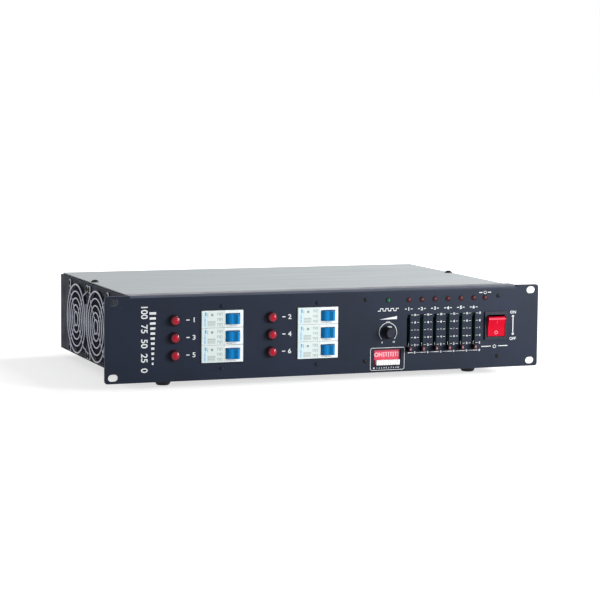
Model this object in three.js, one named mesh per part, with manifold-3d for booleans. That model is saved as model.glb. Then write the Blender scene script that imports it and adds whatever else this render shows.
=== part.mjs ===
// Dimmer pack for stage lighting, two rack units high, in millimetres.
// X runs to the right seen from the front, Y to the back and Z up.
// Y is 0 on the front panel's face until the whole pack is centred at the end.

import * as THREE from 'three';
import { mergeVertices } from 'three/addons/utils/BufferGeometryUtils.js';
import Module from 'manifold-3d';

const wasm = await Module();
wasm.setup();

// Case and sheet metal
const panelWidth = 482.6;
const panelHeight = 88.1;
const panelThickness = 2;
const panelCornerRadius = 3;
const panelBendRadius = 2.2;
const panelFlangeDepth = 15;
const panelFlangeThickness = 1.8;
const earSlotInset = 8.75;
const earSlotPitch = 76.2;
const earSlotLength = 10.5;
const earSlotHeight = 7.2;
const chassisDepth = 275;
const chassisAbovePanelEdge = 3;
const coverBelowPanelEdge = 0.8;
const sheetThickness = 1;
const trayLip = 12;
const coverThickness = 1.2;
const coverInset = 2.5;
const coverScrewInset = 4.5;
const coverScrewRadius = 4.2;
const coverScrewTopRadius = 3.5;
const coverScrewHeight = 2.5;
const coverScrewEdge = 0.9;
const coverScrewY = 157;
const seatGap = 0.3;
const cutOverrun = 1;
const jointOverlap = 0.5;

// Feet
const footHeight = 10;
const footTopRadius = 10;
const footToeRadius = 7;
const footEdge = 1.2;
const footInset = 43;
const footSetback = 28;

// Side vents, opposite the fans
const ventCount = 14;
const ventPitch = 10;
const ventWidth = 3.2;
const ventLength = 46;

// Circuit breakers, two banks of three lying on their sides
const bankCount = 2;
const bankHeight = 44.3;
const breakersPerBank = 3;
const breakerPitch = 17.8;
const breakerThickness = 17.5;
const breakerNoseLength = 44.6;
const breakerNoseProud = 1.5;
const breakerNoseHeight = 6;
const breakerLength = 80;
const breakerDepth = 60;
const breakerWindowGap = 0.4;
const toggleOffset = 11;
const togglePocketLength = 16;
const togglePocketHeight = 11.1;
const togglePocketDepth = 11.2;
const toggleThickness = 10.5;
const toggleRadius = 7.4;
const togglePivotDepth = 3;
const toggleReach = 10.4;
const toggleRootThickness = 6;
const toggleTipThickness = 3.4;
const toggleLean = THREE.MathUtils.degToRad(30);

// Mounting rails behind the breakers
const railWidth = 35;
const railBackWidth = 25;
const railDepth = 7.5;
const railSheet = 1;
const railHeadroom = 0.5;
const railNotchDepth = 4;
const railNotchGap = 0.5;

// Signal lamps to the left of the breakers
const wallToLamp = 46.3;
const lampToBreaker = 10.9;
const breakerToLamp = 13.3;
const lampDomeRadius = 5.4;
const lampRimRadius = 6;
const lampProud = 6;
const lampRimHeight = 1.5;
const lampBarrelRadius = 4.7;
const lampBarrelLength = 18;
const lampNutRadius = 7;
const lampNutThickness = 3;
const lampHoleGap = 0.35;

// Control board and its indicators
const breakerToBoard = 7.6;
const boardBeyondRocker = 9.5;
const boardLow = 5.5;
const boardBelowTop = 4.1;
const boardFront = 9.6;
const boardThickness = 1.6;
const boardNotchGap = 2.5;
const postRadius = 3;
const postInset = 6;
const postLow = 12.2;
const postBelowTop = 11.2;
const ledRadius = 2.4;
const ledProud = 1.6;
const ledLensLength = 5.8;
const ledLeadRadius = 0.9;
const ledBelowTop = 12.5;
const powerLedSpacing = 13.2;
const ledHoleGap = 0.3;

// Channel faders
const faderCount = 6;
const knobToFader = 23.4;
const faderPitch = 15.1;
const faderSlotWidth = 4;
const faderSlotLow = 21.1;
const faderSlotHigh = 59.8;
const faderTravel = 30;
const faderCapWidth = 3.4;
const faderCapHeight = 5.4;
const faderCapProud = 7;
const faderCapTaper = 0.4;
const faderStemWidth = 2.4;
const faderStemHeight = 4.4;
const faderEndGap = 0.5;
const faderPotWidth = 9;
const faderPotLength = 45;
const faderPotFront = 2.6;
const faderPotSlotDepth = 5;

// Preheat control
const boardToKnob = 31.8;
const knobHeight = 42;
const knobRadius = 6.7;
const knobTopRadius = 6;
const knobLength = 9;
const knobEdge = 0.7;
const knobGap = 0.5;
const knobPointerWidth = 1.2;
const knobPointerLength = 4.6;
const knobPointerProud = 0.4;
const knobShaftRadius = 3;
const knobShaftGap = 0.6;
const preheatPotWidth = 16;
const preheatPotFront = 2.9;

// Address switch with ten keys
const dipHeight = 15.2;
const dipWindowWidth = 30.6;
const dipWindowHeight = 16.7;
const dipBodyWidth = 30;
const dipBodyHeight = 16.1;
const dipFaceDepth = 2.5;
const dipKeyCount = 10;
const dipKeyPitch = 2.7;
const dipKeyWidth = 2.35;
const dipKeyHeight = 5.4;
const dipKeyProud = 1.8;
const dipKeyRise = 0.4;
const dipKeyTravel = 2;
const dipStemWidth = 1.1;
const dipStemHeight = 1.8;
const dipStemDepth = 1.8;
const dipSlotGap = 0.3;

// Power rocker switch
const faderToRocker = 25.8;
const rockerToWall = 24.5;
const rockerHeight = 45;
const rockerBezelWidth = 25.6;
const rockerBezelHeight = 30.2;
const rockerBezelThickness = 1.5;
const rockerBodyWidth = 22;
const rockerBodyHeight = 28;
const rockerBodyDepth = 24;
const rockerBackThickness = 2;
const rockerWellWidth = 20.9;
const rockerWellHeight = 23.4;
const rockerKeyWidth = 20.3;
const rockerKeyHeight = 21;
const rockerKeyProud = 2.6;
const rockerKeyDish = 1.5;
const rockerKeyBackHeight = 14;
const rockerKeySideDepth = 4.5;
const rockerKeyDepth = 7.5;
const rockerPivotDepth = 2;
const rockerTilt = THREE.MathUtils.degToRad(10);
const rockerPanelGap = 0.3;
const rockerBladeWidth = 6.3;
const rockerBladeThickness = 0.8;
const rockerBladeLength = 8;
const rockerBladeSpacing = 10;

// Cooling fans on the left wall
const fanCount = 2;
const fanHeadroom = 0.5;
const fanDepth = 25;
const fanRim = 2;
const fanGap = 0.4;
const fanFlangeThickness = 4;
const fanRingWall = 1.6;
const fanHubRadius = 16;
const fanRotorRecess = 4.6;
const fanRotorLength = 15;
const fanPlateThickness = 3.5;
const fanArmWidth = 4;
const fanBladeCount = 7;
const fanBladeChord = 21;
const fanBladeThickness = 1.6;
const fanBladeTipGap = 2;
const fanBladeRootTwist = THREE.MathUtils.degToRad(40);
const fanBladeTipTwist = THREE.MathUtils.degToRad(28);
const fanRowY = 153.9;

// Wire guards over the fans
const guardRingCount = 5;
const guardInnerRadius = 7.5;
const guardRimGap = 0.8;
const guardWire = 1.6;
const guardStandoff = 2.6;
const guardScrewInset = 4.25;
const guardEyeRadius = 4.2;
const guardEyeHoleRadius = 2.2;
const guardBendReach = 3;
const guardLegCount = 4;

// Signal sockets on the rear panel
const signalSocketInset = 29;
const signalSocketSpacing = 36;
const socketFlangeWidth = 26;
const socketFlangeHeight = 31;
const socketFlangeThickness = 2;
const socketBarrelRadius = 11.8;
const socketBarrelLength = 20;
const socketHoleGap = 0.4;
const socketWellRadius = 9.7;
const socketWellDepth = 14;
const socketInsertRadius = 7.7;
const socketGrooveDepth = 12;
const socketContactRadius = 1.3;
const socketContactCircle = 4.7;
const socketContactLength = 11;
const socketContactHoleRadius = 1.7;
const socketContactCount = 3;
const socketTabWidth = 8;
const socketTabHeight = 4;
const socketTabProud = 1.5;

// Output socket for the dimmed channels
const outputToGland = 88;
const outputFlangeSize = 54;
const outputFlangeThickness = 3;
const outputShellRadius = 21;
const outputWellRadius = 18.4;
const outputShellLength = 16;
const outputWellDepth = 13;
const outputBodyRadius = 19.4;
const outputBodyLength = 20;
const outputHoleGap = 0.6;

// Cable gland for the mains feed
const glandInset = 65;
const glandBoreRadius = 9;
const glandThreadRadius = 16;
const glandHexRadius = 22;
const glandHexHeight = 6;
const glandDomeRadius = 18.5;
const glandDomeTipRadius = 14;
const glandDomeLength = 18;
const glandDomeShoulder = 12;
const glandNutRadius = 21;
const glandNutThickness = 6;
const glandHoleGap = 0.4;
const glandThreadTail = 4;

// Dimmer board with its heat sink and chokes
const fanToPowerBoard = 23.7;
const powerBoardToWall = 160;
const powerBoardFrontGap = 25.7;
const powerBoardRearGap = 7;
const powerBoardThickness = 1.6;
const powerBoardLift = 7;
const powerPostRadius = 3;
const powerPostInset = 8;
const sinkInset = 12;
const sinkLength = 44;
const sinkBaseThickness = 6;
const sinkFinCount = 14;
const sinkFinHeight = 34;
const sinkFinThickness = 2;
const sinkSetback = 10;
const chokesPerRow = 3;
const chokeHeight = 17;

// Shares of the board's width, of its length behind the heat sink, and of a choke's radius
const chokeSpacingShare = 0.3;
const chokeRowShares = [0.265, 0.7];
const chokeRadiusShare = 0.18;
const chokeHoleShare = 0.42;

// Roundness of the turned pieces
const smallSides = 12;
const middleSides = 20;
const largeSides = 40;
const hexagonSides = 6;
const slotEndSteps = 6;
const bendSteps = 4;

// Levels and faces that follow from the sizes above
const panelBase = footHeight - chassisAbovePanelEdge;
const panelTop = panelBase + panelHeight;
const chassisTop = panelTop - coverBelowPanelEdge;
const trayTop = chassisTop - coverThickness - seatGap;
const floorTop = footHeight + sheetThickness;
const trayCeiling = trayTop - sheetThickness;
const bankPitch = breakerLength + breakerToLamp + lampToBreaker;
const bankRoom = wallToLamp + lampToBreaker + (bankCount - 1) * bankPitch + breakerLength;
const faderRoom = knobToFader + (faderCount - 1) * faderPitch + faderToRocker;
const chassisWidth = bankRoom + breakerToBoard + boardToKnob + faderRoom + rockerToWall;
const halfChassis = chassisWidth / 2;
const halfCover = halfChassis - coverInset;
const trayFront = panelThickness + seatGap;
const rearPanelFront = chassisDepth - sheetThickness;
const trayRear = rearPanelFront - seatGap;
const fanSize = trayCeiling - fanHeadroom - floorTop - seatGap;
const fanBoreRadius = fanSize / 2 - fanRim;
const sideHeight = floorTop + seatGap + fanSize / 2;
const bankZ = panelBase + bankHeight;
const ledZ = panelTop - ledBelowTop;
const knobZ = panelBase + knobHeight;
const dipZ = panelBase + dipHeight;
const rockerZ = panelBase + rockerHeight;
const frontReach = knobGap + knobLength + knobPointerProud;
const rearReach = chassisDepth + seatGap + glandHexHeight + glandDomeLength;
const centreY = (rearReach - frontReach) / 2;

const finishes = {
  panelPaint: [0x2f3443, 0.45, 0.3],
  casePaint: [0x2a2d38, 0.5, 0.3],
  zincSheet: [0xc6cacc, 0.4, 0.8],
  foot: [0x16171a, 0.85, 0],
  breakerCase: [0xf2f4f3, 0.4, 0],
  toggle: [0x0b6db4, 0.35, 0],
  rail: [0xb5b8b8, 0.35, 0.9],
  lamp: [0xc2121f, 0.2, 0],
  board: [0x143c2e, 0.5, 0],
  blackPlastic: [0x121316, 0.45, 0],
  dipBody: [0xcf2f45, 0.45, 0],
  dipKey: [0xf1f1ee, 0.5, 0],
  rocker: [0xd8101f, 0.3, 0],
  chrome: [0xd7dadd, 0.2, 1],
  fanPlastic: [0x1b1c20, 0.5, 0],
  nickel: [0xaeb1b4, 0.3, 0.9],
};

const pack = new THREE.Group();
pack.position.y = -centreY;

function addPiece(name, geometry, finish) {
  const [color, roughness, metalness] = finishes[finish];
  const material = new THREE.MeshStandardMaterial({ color, roughness, metalness });
  const mesh = new THREE.Mesh(geometry, material);
  mesh.name = name;
  pack.add(mesh);
  return mesh;
}

// Solids are kept as manifolds while they are cut and joined.
function toSolid(geometry) {
  const bare = geometry.clone();
  bare.deleteAttribute('normal');
  bare.deleteAttribute('uv');
  const merged = mergeVertices(bare);
  const index = merged.index.array;
  const triangles = [];
  for (let i = 0; i < index.length; i += 3) {
    const [a, b, c] = index.slice(i, i + 3);
    if (a !== b && b !== c && c !== a) {
      triangles.push(a, b, c);
    }
  }
  const mesh = new wasm.Mesh({
    numProp: 3,
    vertProperties: new Float32Array(merged.attributes.position.array),
    triVerts: new Uint32Array(triangles),
  });
  return new wasm.Manifold(mesh);
}

function toGeometry(solid) {
  const mesh = solid.getMesh();
  const geometry = new THREE.BufferGeometry();
  geometry.setAttribute('position', new THREE.BufferAttribute(mesh.vertProperties, 3));
  geometry.setIndex(new THREE.BufferAttribute(mesh.triVerts, 1));
  geometry.computeVertexNormals();
  return geometry;
}

function build(body, joins = [], cuts = []) {
  let solid = toSolid(body);
  for (const join of joins) {
    solid = solid.add(toSolid(join));
  }
  for (const cut of cuts) {
    solid = solid.subtract(toSolid(cut));
  }
  return toGeometry(solid);
}

// Corners are set to the given values, so that neighbouring faces line up exactly.
function box(x0, x1, y0, y1, z0, z1) {
  const geometry = new THREE.BoxGeometry(1, 1, 1);
  const points = geometry.attributes.position;
  for (let i = 0; i < points.count; i += 1) {
    const x = points.getX(i) < 0 ? x0 : x1;
    const y = points.getY(i) < 0 ? y0 : y1;
    points.setXYZ(i, x, y, points.getZ(i) < 0 ? z0 : z1);
  }
  return geometry;
}

// A box about a centre line that runs along Y
function block(x, z, width, height, y0, y1) {
  return box(x - width / 2, x + width / 2, y0, y1, z - height / 2, z + height / 2);
}

// An outline pushed from one value to another, its corners placed by the given function
function prism(outline, place) {
  const shape = new THREE.Shape(outline.map(([a, b]) => new THREE.Vector2(a, b)));
  const geometry = new THREE.ExtrudeGeometry(shape, { depth: 1, bevelEnabled: false });
  const points = geometry.attributes.position;
  for (let i = 0; i < points.count; i += 1) {
    points.setXYZ(i, ...place(points.getX(i), points.getY(i), points.getZ(i) > 0));
  }
  return geometry;
}

// Outlines drawn in X and Z
function prismAlongY(outline, y0, y1) {
  return prism(outline, (a, b, far) => [a, far ? y0 : y1, b]);
}

// Outlines drawn in X and Y
function prismAlongZ(outline, z0, z1) {
  return prism(outline, (a, b, far) => [a, b, far ? z1 : z0]);
}

// Outlines drawn in Y and Z
function prismAlongX(outline, x0, x1) {
  return prism(outline, (a, b, far) => [far ? x1 : x0, a, b]);
}

// Turned pieces have their axis along Y and a profile of radius and Y.
function turned(profile, sides, x = 0, z = 0) {
  const points = profile.map(([radius, y]) => new THREE.Vector2(radius, y));
  const geometry = new THREE.LatheGeometry(points, sides);
  geometry.translate(x, 0, z);
  return geometry;
}

function rod(radius, y0, y1, sides, x, z) {
  return turned([[0, y0], [radius, y0], [radius, y1], [0, y1]], sides, x, z);
}

function turnAxisToX(geometry) {
  geometry.rotateZ(-Math.PI / 2);
  return geometry;
}

function rectangle(x, z, width, height) {
  return [
    [x - width / 2, z - height / 2],
    [x + width / 2, z - height / 2],
    [x + width / 2, z + height / 2],
    [x - width / 2, z + height / 2],
  ];
}

function circle(x, z, radius, sides) {
  const points = [];
  for (let i = 0; i < sides; i += 1) {
    const angle = (2 * Math.PI * i) / sides;
    points.push([x + radius * Math.cos(angle), z + radius * Math.sin(angle)]);
  }
  return points;
}

// A slot with round ends, lying along the outline's first axis or standing
function slotPoints(x, z, length, width, standing) {
  const points = [];
  const reach = (length - width) / 2;
  for (const side of [1, -1]) {
    for (let i = 0; i <= slotEndSteps; i += 1) {
      const angle = Math.PI * (i / slotEndSteps - side / 2);
      const along = side * reach + (width / 2) * Math.cos(angle);
      const across = (width / 2) * Math.sin(angle);
      points.push(standing ? [x - across, z + along] : [x + along, z + across]);
    }
  }
  return points;
}

// A hole through a sheet that stands across Y
function holeThrough(points, y0, y1) {
  return prismAlongY(points, y0 - cutOverrun, y1 + cutOverrun);
}

function roundedRectangle(x0, x1, z0, z1, radius) {
  const corners = [[x1, z0, 1, -1], [x1, z1, 1, 1], [x0, z1, -1, 1], [x0, z0, -1, -1]];
  const points = [];
  corners.forEach(([x, z, right, up], corner) => {
    for (let i = 0; i <= bendSteps; i += 1) {
      const angle = (Math.PI / 2) * (i / bendSteps + corner - 1);
      const reachX = radius * (Math.cos(angle) - right);
      const reachZ = radius * (Math.sin(angle) - up);
      points.push([x + reachX, z + reachZ]);
    }
  });
  return points;
}

// Places along X, from the left wall to the right one
const lampX = [];
const bankX = [];
for (let i = 0; i < bankCount; i += 1) {
  lampX.push(-halfChassis + wallToLamp + i * bankPitch);
  bankX.push(lampX[i] + lampToBreaker + breakerLength / 2);
}
const boardLeft = -halfChassis + bankRoom + breakerToBoard;
const knobX = boardLeft + boardToKnob;
const rockerX = halfChassis - rockerToWall;
const boardRight = rockerX + boardBeyondRocker;
const postX = [boardLeft + postInset, boardRight - postInset];
const signalInX = halfChassis - signalSocketInset;
const signalSocketX = [signalInX - signalSocketSpacing, signalInX];
const glandX = -halfChassis + glandInset;
const outputSocketX = glandX + outputToGland;

const bankOffsets = [];
for (let i = 0; i < breakersPerBank; i += 1) {
  bankOffsets.push(((breakersPerBank - 1) / 2 - i) * breakerPitch);
}
const faderX = [];
for (let i = 0; i < faderCount; i += 1) {
  faderX.push(knobX + knobToFader + i * faderPitch);
}
const powerLedX = faderX[faderCount - 1] + powerLedSpacing;
const fanY = [];
for (let i = 0; i < fanCount; i += 1) {
  fanY.push(fanRowY + (i - (fanCount - 1) / 2) * (fanSize + fanGap));
}

// Tray: floor, two side walls, their lips, fan bores and side vents
function trayGeometry() {
  const floor = box(-halfChassis, halfChassis, trayFront, trayRear, footHeight, floorTop);
  const joins = [];
  const cuts = [];
  for (const side of [-1, 1]) {
    const wall = [side * halfChassis, side * (halfChassis - sheetThickness)].sort((a, b) => a - b);
    const lip = [side * halfChassis, side * (halfChassis - trayLip)].sort((a, b) => a - b);
    joins.push(box(...wall, trayFront, trayRear, footHeight, trayTop));
    joins.push(box(...lip, trayFront, trayRear, trayCeiling, trayTop));
    joins.push(box(...lip, trayFront, trayFront + sheetThickness, footHeight, trayTop));
    joins.push(box(...lip, trayRear - sheetThickness, trayRear, footHeight, trayTop));
  }
  const wallIn = halfChassis - sheetThickness - cutOverrun;
  const wallOut = halfChassis + cutOverrun;
  for (const y of fanY) {
    const bore = rod(fanBoreRadius, wallIn, wallOut, largeSides, 0, 0);
    turnAxisToX(bore);
    bore.rotateY(Math.PI);
    bore.translate(0, y, sideHeight);
    cuts.push(bore);
  }
  for (let i = 0; i < ventCount; i += 1) {
    const y = fanRowY + (i - (ventCount - 1) / 2) * ventPitch;
    const vent = slotPoints(y, sideHeight, ventLength, ventWidth, true);
    cuts.push(prismAlongX(vent, wallIn, wallOut));
  }
  return build(floor, joins, cuts);
}
addPiece('chassis_tray', trayGeometry(), 'casePaint');

const coverFront = panelFlangeDepth + seatGap;
const coverBase = chassisTop - coverThickness;
function coverGeometry() {
  const sheet = box(-halfCover, halfCover, coverFront, chassisDepth, coverBase, chassisTop);
  const screws = [-1, 1].map((side) => {
    const screw = turned([
      [0, -jointOverlap],
      [coverScrewRadius, -jointOverlap],
      [coverScrewRadius, coverScrewHeight - coverScrewEdge],
      [coverScrewTopRadius, coverScrewHeight],
      [0, coverScrewHeight],
    ], smallSides);
    screw.rotateX(Math.PI / 2);
    screw.translate(side * (halfCover - coverScrewInset), coverScrewY, chassisTop);
    return screw;
  });
  return build(sheet, screws);
}
addPiece('top_cover', coverGeometry(), 'zincSheet');

// Front panel: one flat sheet with ears, its top edge bent back between the chassis walls
function frontPanelGeometry() {
  const halfPanel = panelWidth / 2;
  const outline = roundedRectangle(-halfPanel, halfPanel, panelBase, panelTop, panelCornerRadius);
  const middle = (panelBase + panelTop) / 2;
  const holes = [];
  for (const side of [-1, 1]) {
    for (const level of [-1, 1]) {
      const x = side * (halfPanel - earSlotInset);
      const z = middle + (level * earSlotPitch) / 2;
      holes.push(slotPoints(x, z, earSlotLength, earSlotHeight, false));
    }
  }
  const windowWidth = breakerNoseLength + 2 * breakerWindowGap;
  const windowHeight = breakersPerBank * breakerPitch + breakerWindowGap;
  for (const x of bankX) {
    holes.push(rectangle(x, bankZ, windowWidth, windowHeight));
  }
  for (const x of lampX) {
    for (const offset of bankOffsets) {
      const radius = lampBarrelRadius + lampHoleGap;
      holes.push(circle(x, bankZ + offset, radius, smallSides));
    }
  }
  for (const x of [knobX, ...faderX, powerLedX]) {
    holes.push(circle(x, ledZ, ledRadius + ledHoleGap, smallSides));
  }
  const slotLength = faderSlotHigh - faderSlotLow;
  const slotZ = panelBase + (faderSlotHigh + faderSlotLow) / 2;
  for (const x of faderX) {
    holes.push(rectangle(x, slotZ, faderSlotWidth, slotLength));
  }
  holes.push(circle(knobX, knobZ, knobShaftRadius + knobShaftGap, smallSides));
  holes.push(rectangle(knobX, dipZ, dipWindowWidth, dipWindowHeight));
  const cutoutWidth = rockerBodyWidth + 2 * rockerPanelGap;
  const cutoutHeight = rockerBodyHeight + 2 * rockerPanelGap;
  holes.push(rectangle(rockerX, rockerZ, cutoutWidth, cutoutHeight));
  const sheet = prismAlongY(outline, 0, panelThickness);
  const flangeBase = panelTop - panelFlangeThickness;
  const flange = box(-halfChassis, halfChassis, 0, panelFlangeDepth, flangeBase, panelTop);
  const waste = [[-cutOverrun, panelTop + cutOverrun], [-cutOverrun, panelTop - panelBendRadius]];
  for (let i = 0; i <= bendSteps; i += 1) {
    const angle = (Math.PI / 2) * (i / bendSteps);
    const y = panelBendRadius * (1 - Math.cos(angle));
    waste.push([y, panelTop - panelBendRadius * (1 - Math.sin(angle))]);
  }
  waste.push([panelBendRadius, panelTop + cutOverrun]);
  const bend = prismAlongX(waste, -halfChassis, halfChassis);
  const cuts = holes.map((points) => holeThrough(points, 0, panelThickness));
  return build(sheet, [flange], [bend, ...cuts]);
}
addPiece('front_panel', frontPanelGeometry(), 'panelPaint');

// Rear panel with the bores for its sockets and gland
function rearPanelGeometry() {
  const sheet = box(-halfChassis, halfChassis, rearPanelFront, chassisDepth, footHeight, trayTop);
  const socketBore = socketBarrelRadius + socketHoleGap;
  const holes = signalSocketX.map((x) => circle(x, sideHeight, socketBore, middleSides));
  holes.push(circle(outputSocketX, sideHeight, outputBodyRadius + outputHoleGap, middleSides));
  holes.push(circle(glandX, sideHeight, glandThreadRadius + glandHoleGap, middleSides));
  const cuts = holes.map((points) => holeThrough(points, rearPanelFront, chassisDepth));
  return build(sheet, [], cuts);
}
addPiece('rear_panel', rearPanelGeometry(), 'casePaint');

// Feet, turned about a standing axis
const footNames = ['foot_front_left', 'foot_front_right', 'foot_rear_left', 'foot_rear_right'];
footNames.forEach((name, i) => {
  const foot = turned([
    [0, 0],
    [footToeRadius - footEdge, 0],
    [footToeRadius, footEdge],
    [footTopRadius, footHeight - seatGap],
    [0, footHeight - seatGap],
  ], middleSides);
  foot.rotateX(Math.PI / 2);
  const mesh = addPiece(name, build(foot), 'foot');
  mesh.position.x = (i % 2 === 0 ? -1 : 1) * (halfChassis - footInset);
  mesh.position.y = i < 2 ? footSetback : chassisDepth - footSetback;
});

// Breaker: a nose in the panel's window, shoulders behind it and a notch for the rail
const noseFace = -breakerNoseProud;
const breakerShoulder = noseFace + breakerNoseHeight;
const breakerBack = noseFace + breakerDepth;
const notchFloor = breakerBack - railNotchDepth;
function breakerGeometry() {
  const nose = breakerNoseLength / 2;
  const body = breakerLength / 2;
  const notch = railWidth / 2 + railNotchGap;
  const outline = [
    [-nose, noseFace],
    [nose, noseFace],
    [nose, breakerShoulder],
    [body, breakerShoulder],
    [body, breakerBack],
    [notch, breakerBack],
    [notch, notchFloor],
    [-notch, notchFloor],
    [-notch, breakerBack],
    [-body, breakerBack],
    [-body, breakerShoulder],
    [-nose, breakerShoulder],
  ];
  const half = breakerThickness / 2;
  const pocketFloor = noseFace + togglePocketDepth;
  const pocketFront = noseFace - cutOverrun;
  const pocket = block(
    toggleOffset, 0, togglePocketLength, togglePocketHeight, pocketFront, pocketFloor,
  );
  return build(prismAlongZ(outline, -half, half), [], [pocket]);
}

// Toggle: a drum about its pivot with a handle that tapers towards its tip
function toggleGeometry() {
  const rootAngle = Math.asin(toggleRootThickness / 2 / toggleRadius);
  const points = [
    [toggleTipThickness / 2, -toggleReach],
  ];
  const start = -Math.PI / 2 + rootAngle;
  const sweep = 2 * Math.PI - 2 * rootAngle;
  for (let i = 0; i <= middleSides; i += 1) {
    const angle = start + (sweep * i) / middleSides;
    points.push([toggleRadius * Math.cos(angle), toggleRadius * Math.sin(angle)]);
  }
  points.push([-toggleTipThickness / 2, -toggleReach]);
  return prismAlongZ(points, -toggleThickness / 2, toggleThickness / 2);
}

// Lamp: a domed lens on a rim, a barrel through the panel and a nut behind it
function lampGeometry() {
  const rimBack = -seatGap;
  const rimFront = -lampRimHeight;
  const dome = lampProud - lampRimHeight;
  const profile = [];
  for (let i = 0; i <= bendSteps; i += 1) {
    const angle = (Math.PI / 2) * (i / bendSteps);
    profile.push([lampDomeRadius * Math.sin(angle), rimFront - dome * Math.cos(angle)]);
  }
  const nutFront = panelThickness + seatGap;
  profile.push(
    [lampRimRadius, rimFront],
    [lampRimRadius, rimBack],
    [lampBarrelRadius, rimBack],
    [lampBarrelRadius, nutFront],
    [lampNutRadius, nutFront],
    [lampNutRadius, nutFront + lampNutThickness],
    [lampBarrelRadius, nutFront + lampNutThickness],
    [lampBarrelRadius, lampBarrelLength],
    [0, lampBarrelLength],
  );
  return build(turned(profile, smallSides));
}

const channelNames = ['1', '3', '5', '2', '4', '6'];
bankX.forEach((x, bank) => {
  bankOffsets.forEach((offset, row) => {
    const channel = channelNames[bank * breakersPerBank + row];
    const breaker = addPiece(`breaker_${channel}`, breakerGeometry(), 'breakerCase');
    breaker.position.set(x, 0, bankZ + offset);
    const toggle = addPiece(`breaker_toggle_${channel}`, toggleGeometry(), 'toggle');
    toggle.position.set(x + toggleOffset, noseFace + togglePivotDepth, bankZ + offset);
    toggle.rotation.z = toggleLean;
    const lamp = addPiece(`channel_lamp_${channel}`, lampGeometry(), 'lamp');
    lamp.position.set(lampX[bank], 0, bankZ + offset);
  });
});

// Rails: hat section standing on the floor, its brim in the breakers' notches
function railGeometry(x) {
  const brim = railWidth / 2;
  const hat = railBackWidth / 2;
  const front = notchFloor + seatGap;
  const back = front + railDepth;
  const outline = [
    [x - brim, front],
    [x - hat + railSheet, front],
    [x - hat + railSheet, back - railSheet],
    [x + hat - railSheet, back - railSheet],
    [x + hat - railSheet, front],
    [x + brim, front],
    [x + brim, front + railSheet],
    [x + hat, front + railSheet],
    [x + hat, back],
    [x - hat, back],
    [x - hat, front + railSheet],
    [x - brim, front + railSheet],
  ];
  return prismAlongZ(outline, floorTop + seatGap, trayCeiling - railHeadroom);
}
addPiece('breaker_rail_left', railGeometry(bankX[0]), 'rail');
addPiece('breaker_rail_right', railGeometry(bankX[1]), 'rail');

// Control board: the sheet, its posts, fader tracks, preheat control and indicators
const capRestZ = panelBase + faderSlotLow + faderEndGap + faderStemHeight / 2;
const trackZ = capRestZ + faderTravel / 2;
function controlBoardGeometry() {
  const back = boardFront + boardThickness;
  const low = panelBase + boardLow;
  const high = panelTop - boardBelowTop;
  const sheet = box(boardLeft, boardRight, boardFront, back, low, high);
  const joins = [];
  const cuts = [];
  const inBoard = boardFront + jointOverlap;
  for (const x of postX) {
    for (const z of [panelBase + postLow, panelTop - postBelowTop]) {
      joins.push(rod(postRadius, trayFront, inBoard, smallSides, x, z));
    }
  }
  for (const x of faderX) {
    joins.push(block(x, trackZ, faderPotWidth, faderPotLength, faderPotFront, inBoard));
    const slotWidth = faderStemWidth + 2 * seatGap;
    const slotHeight = faderTravel + faderStemHeight + 2 * seatGap;
    const slotFront = faderPotFront - cutOverrun;
    const slotBack = faderPotFront + faderPotSlotDepth;
    cuts.push(block(x, trackZ, slotWidth, slotHeight, slotFront, slotBack));
  }
  joins.push(block(knobX, knobZ, preheatPotWidth, preheatPotWidth, preheatPotFront, inBoard));
  for (const x of [knobX, ...faderX, powerLedX]) {
    const shoulder = ledProud - ledRadius / 2;
    const lensBack = ledLensLength - ledProud;
    joins.push(turned([
      [0, -ledProud],
      [ledRadius * Math.SQRT1_2, -shoulder - ledRadius / 4],
      [ledRadius, -shoulder + ledRadius / 4],
      [ledRadius, lensBack],
      [ledLeadRadius, lensBack],
      [ledLeadRadius, inBoard],
      [0, inBoard],
    ], smallSides, x, ledZ));
  }
  const notchLeft = rockerX - rockerBodyWidth / 2 - boardNotchGap;
  const notchHeight = rockerBodyHeight + 2 * boardNotchGap;
  const notchFront = boardFront - cutOverrun;
  const notchLow = rockerZ - notchHeight / 2;
  const notchHigh = rockerZ + notchHeight / 2;
  const notchRight = boardRight + cutOverrun;
  cuts.push(box(notchLeft, notchRight, notchFront, back + cutOverrun, notchLow, notchHigh));
  return build(sheet, joins, cuts);
}
addPiece('control_board', controlBoardGeometry(), 'board');

// Faders: a tapered cap in front of the panel and a stem that runs in its track
function faderGeometry() {
  const capBack = -seatGap;
  const capFront = -faderCapProud;
  const half = faderCapHeight / 2;
  const tip = half - faderCapTaper;
  const profile = [
    [capFront, -tip],
    [capBack, -half],
    [capBack, half],
    [capFront, tip],
  ];
  const cap = prismAlongX(profile, -faderCapWidth / 2, faderCapWidth / 2);
  const stemBack = faderPotFront + faderPotSlotDepth - seatGap;
  const stemFront = capBack - jointOverlap;
  const stem = block(0, 0, faderStemWidth, faderStemHeight, stemFront, stemBack);
  return build(cap, [stem]);
}
faderX.forEach((x, i) => {
  const fader = addPiece(`fader_${i + 1}`, faderGeometry(), 'blackPlastic');
  fader.position.set(x, 0, capRestZ);
});

// Preheat knob with a raised pointer and its shaft
function knobGeometry() {
  const front = -knobGap - knobLength;
  const body = turned([
    [0, front],
    [knobTopRadius - knobEdge, front],
    [knobTopRadius, front + knobEdge],
    [knobRadius, -knobGap],
    [knobShaftRadius, -knobGap],
    [knobShaftRadius, preheatPotFront - seatGap],
    [0, preheatPotFront - seatGap],
  ], middleSides);
  const half = knobPointerWidth / 2;
  const pointerFront = front - knobPointerProud;
  const pointer = box(-half, half, pointerFront, front + jointOverlap, 0, knobPointerLength);
  return build(body, [pointer]);
}
addPiece('preheat_knob', knobGeometry(), 'blackPlastic').position.set(knobX, 0, knobZ);

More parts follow.
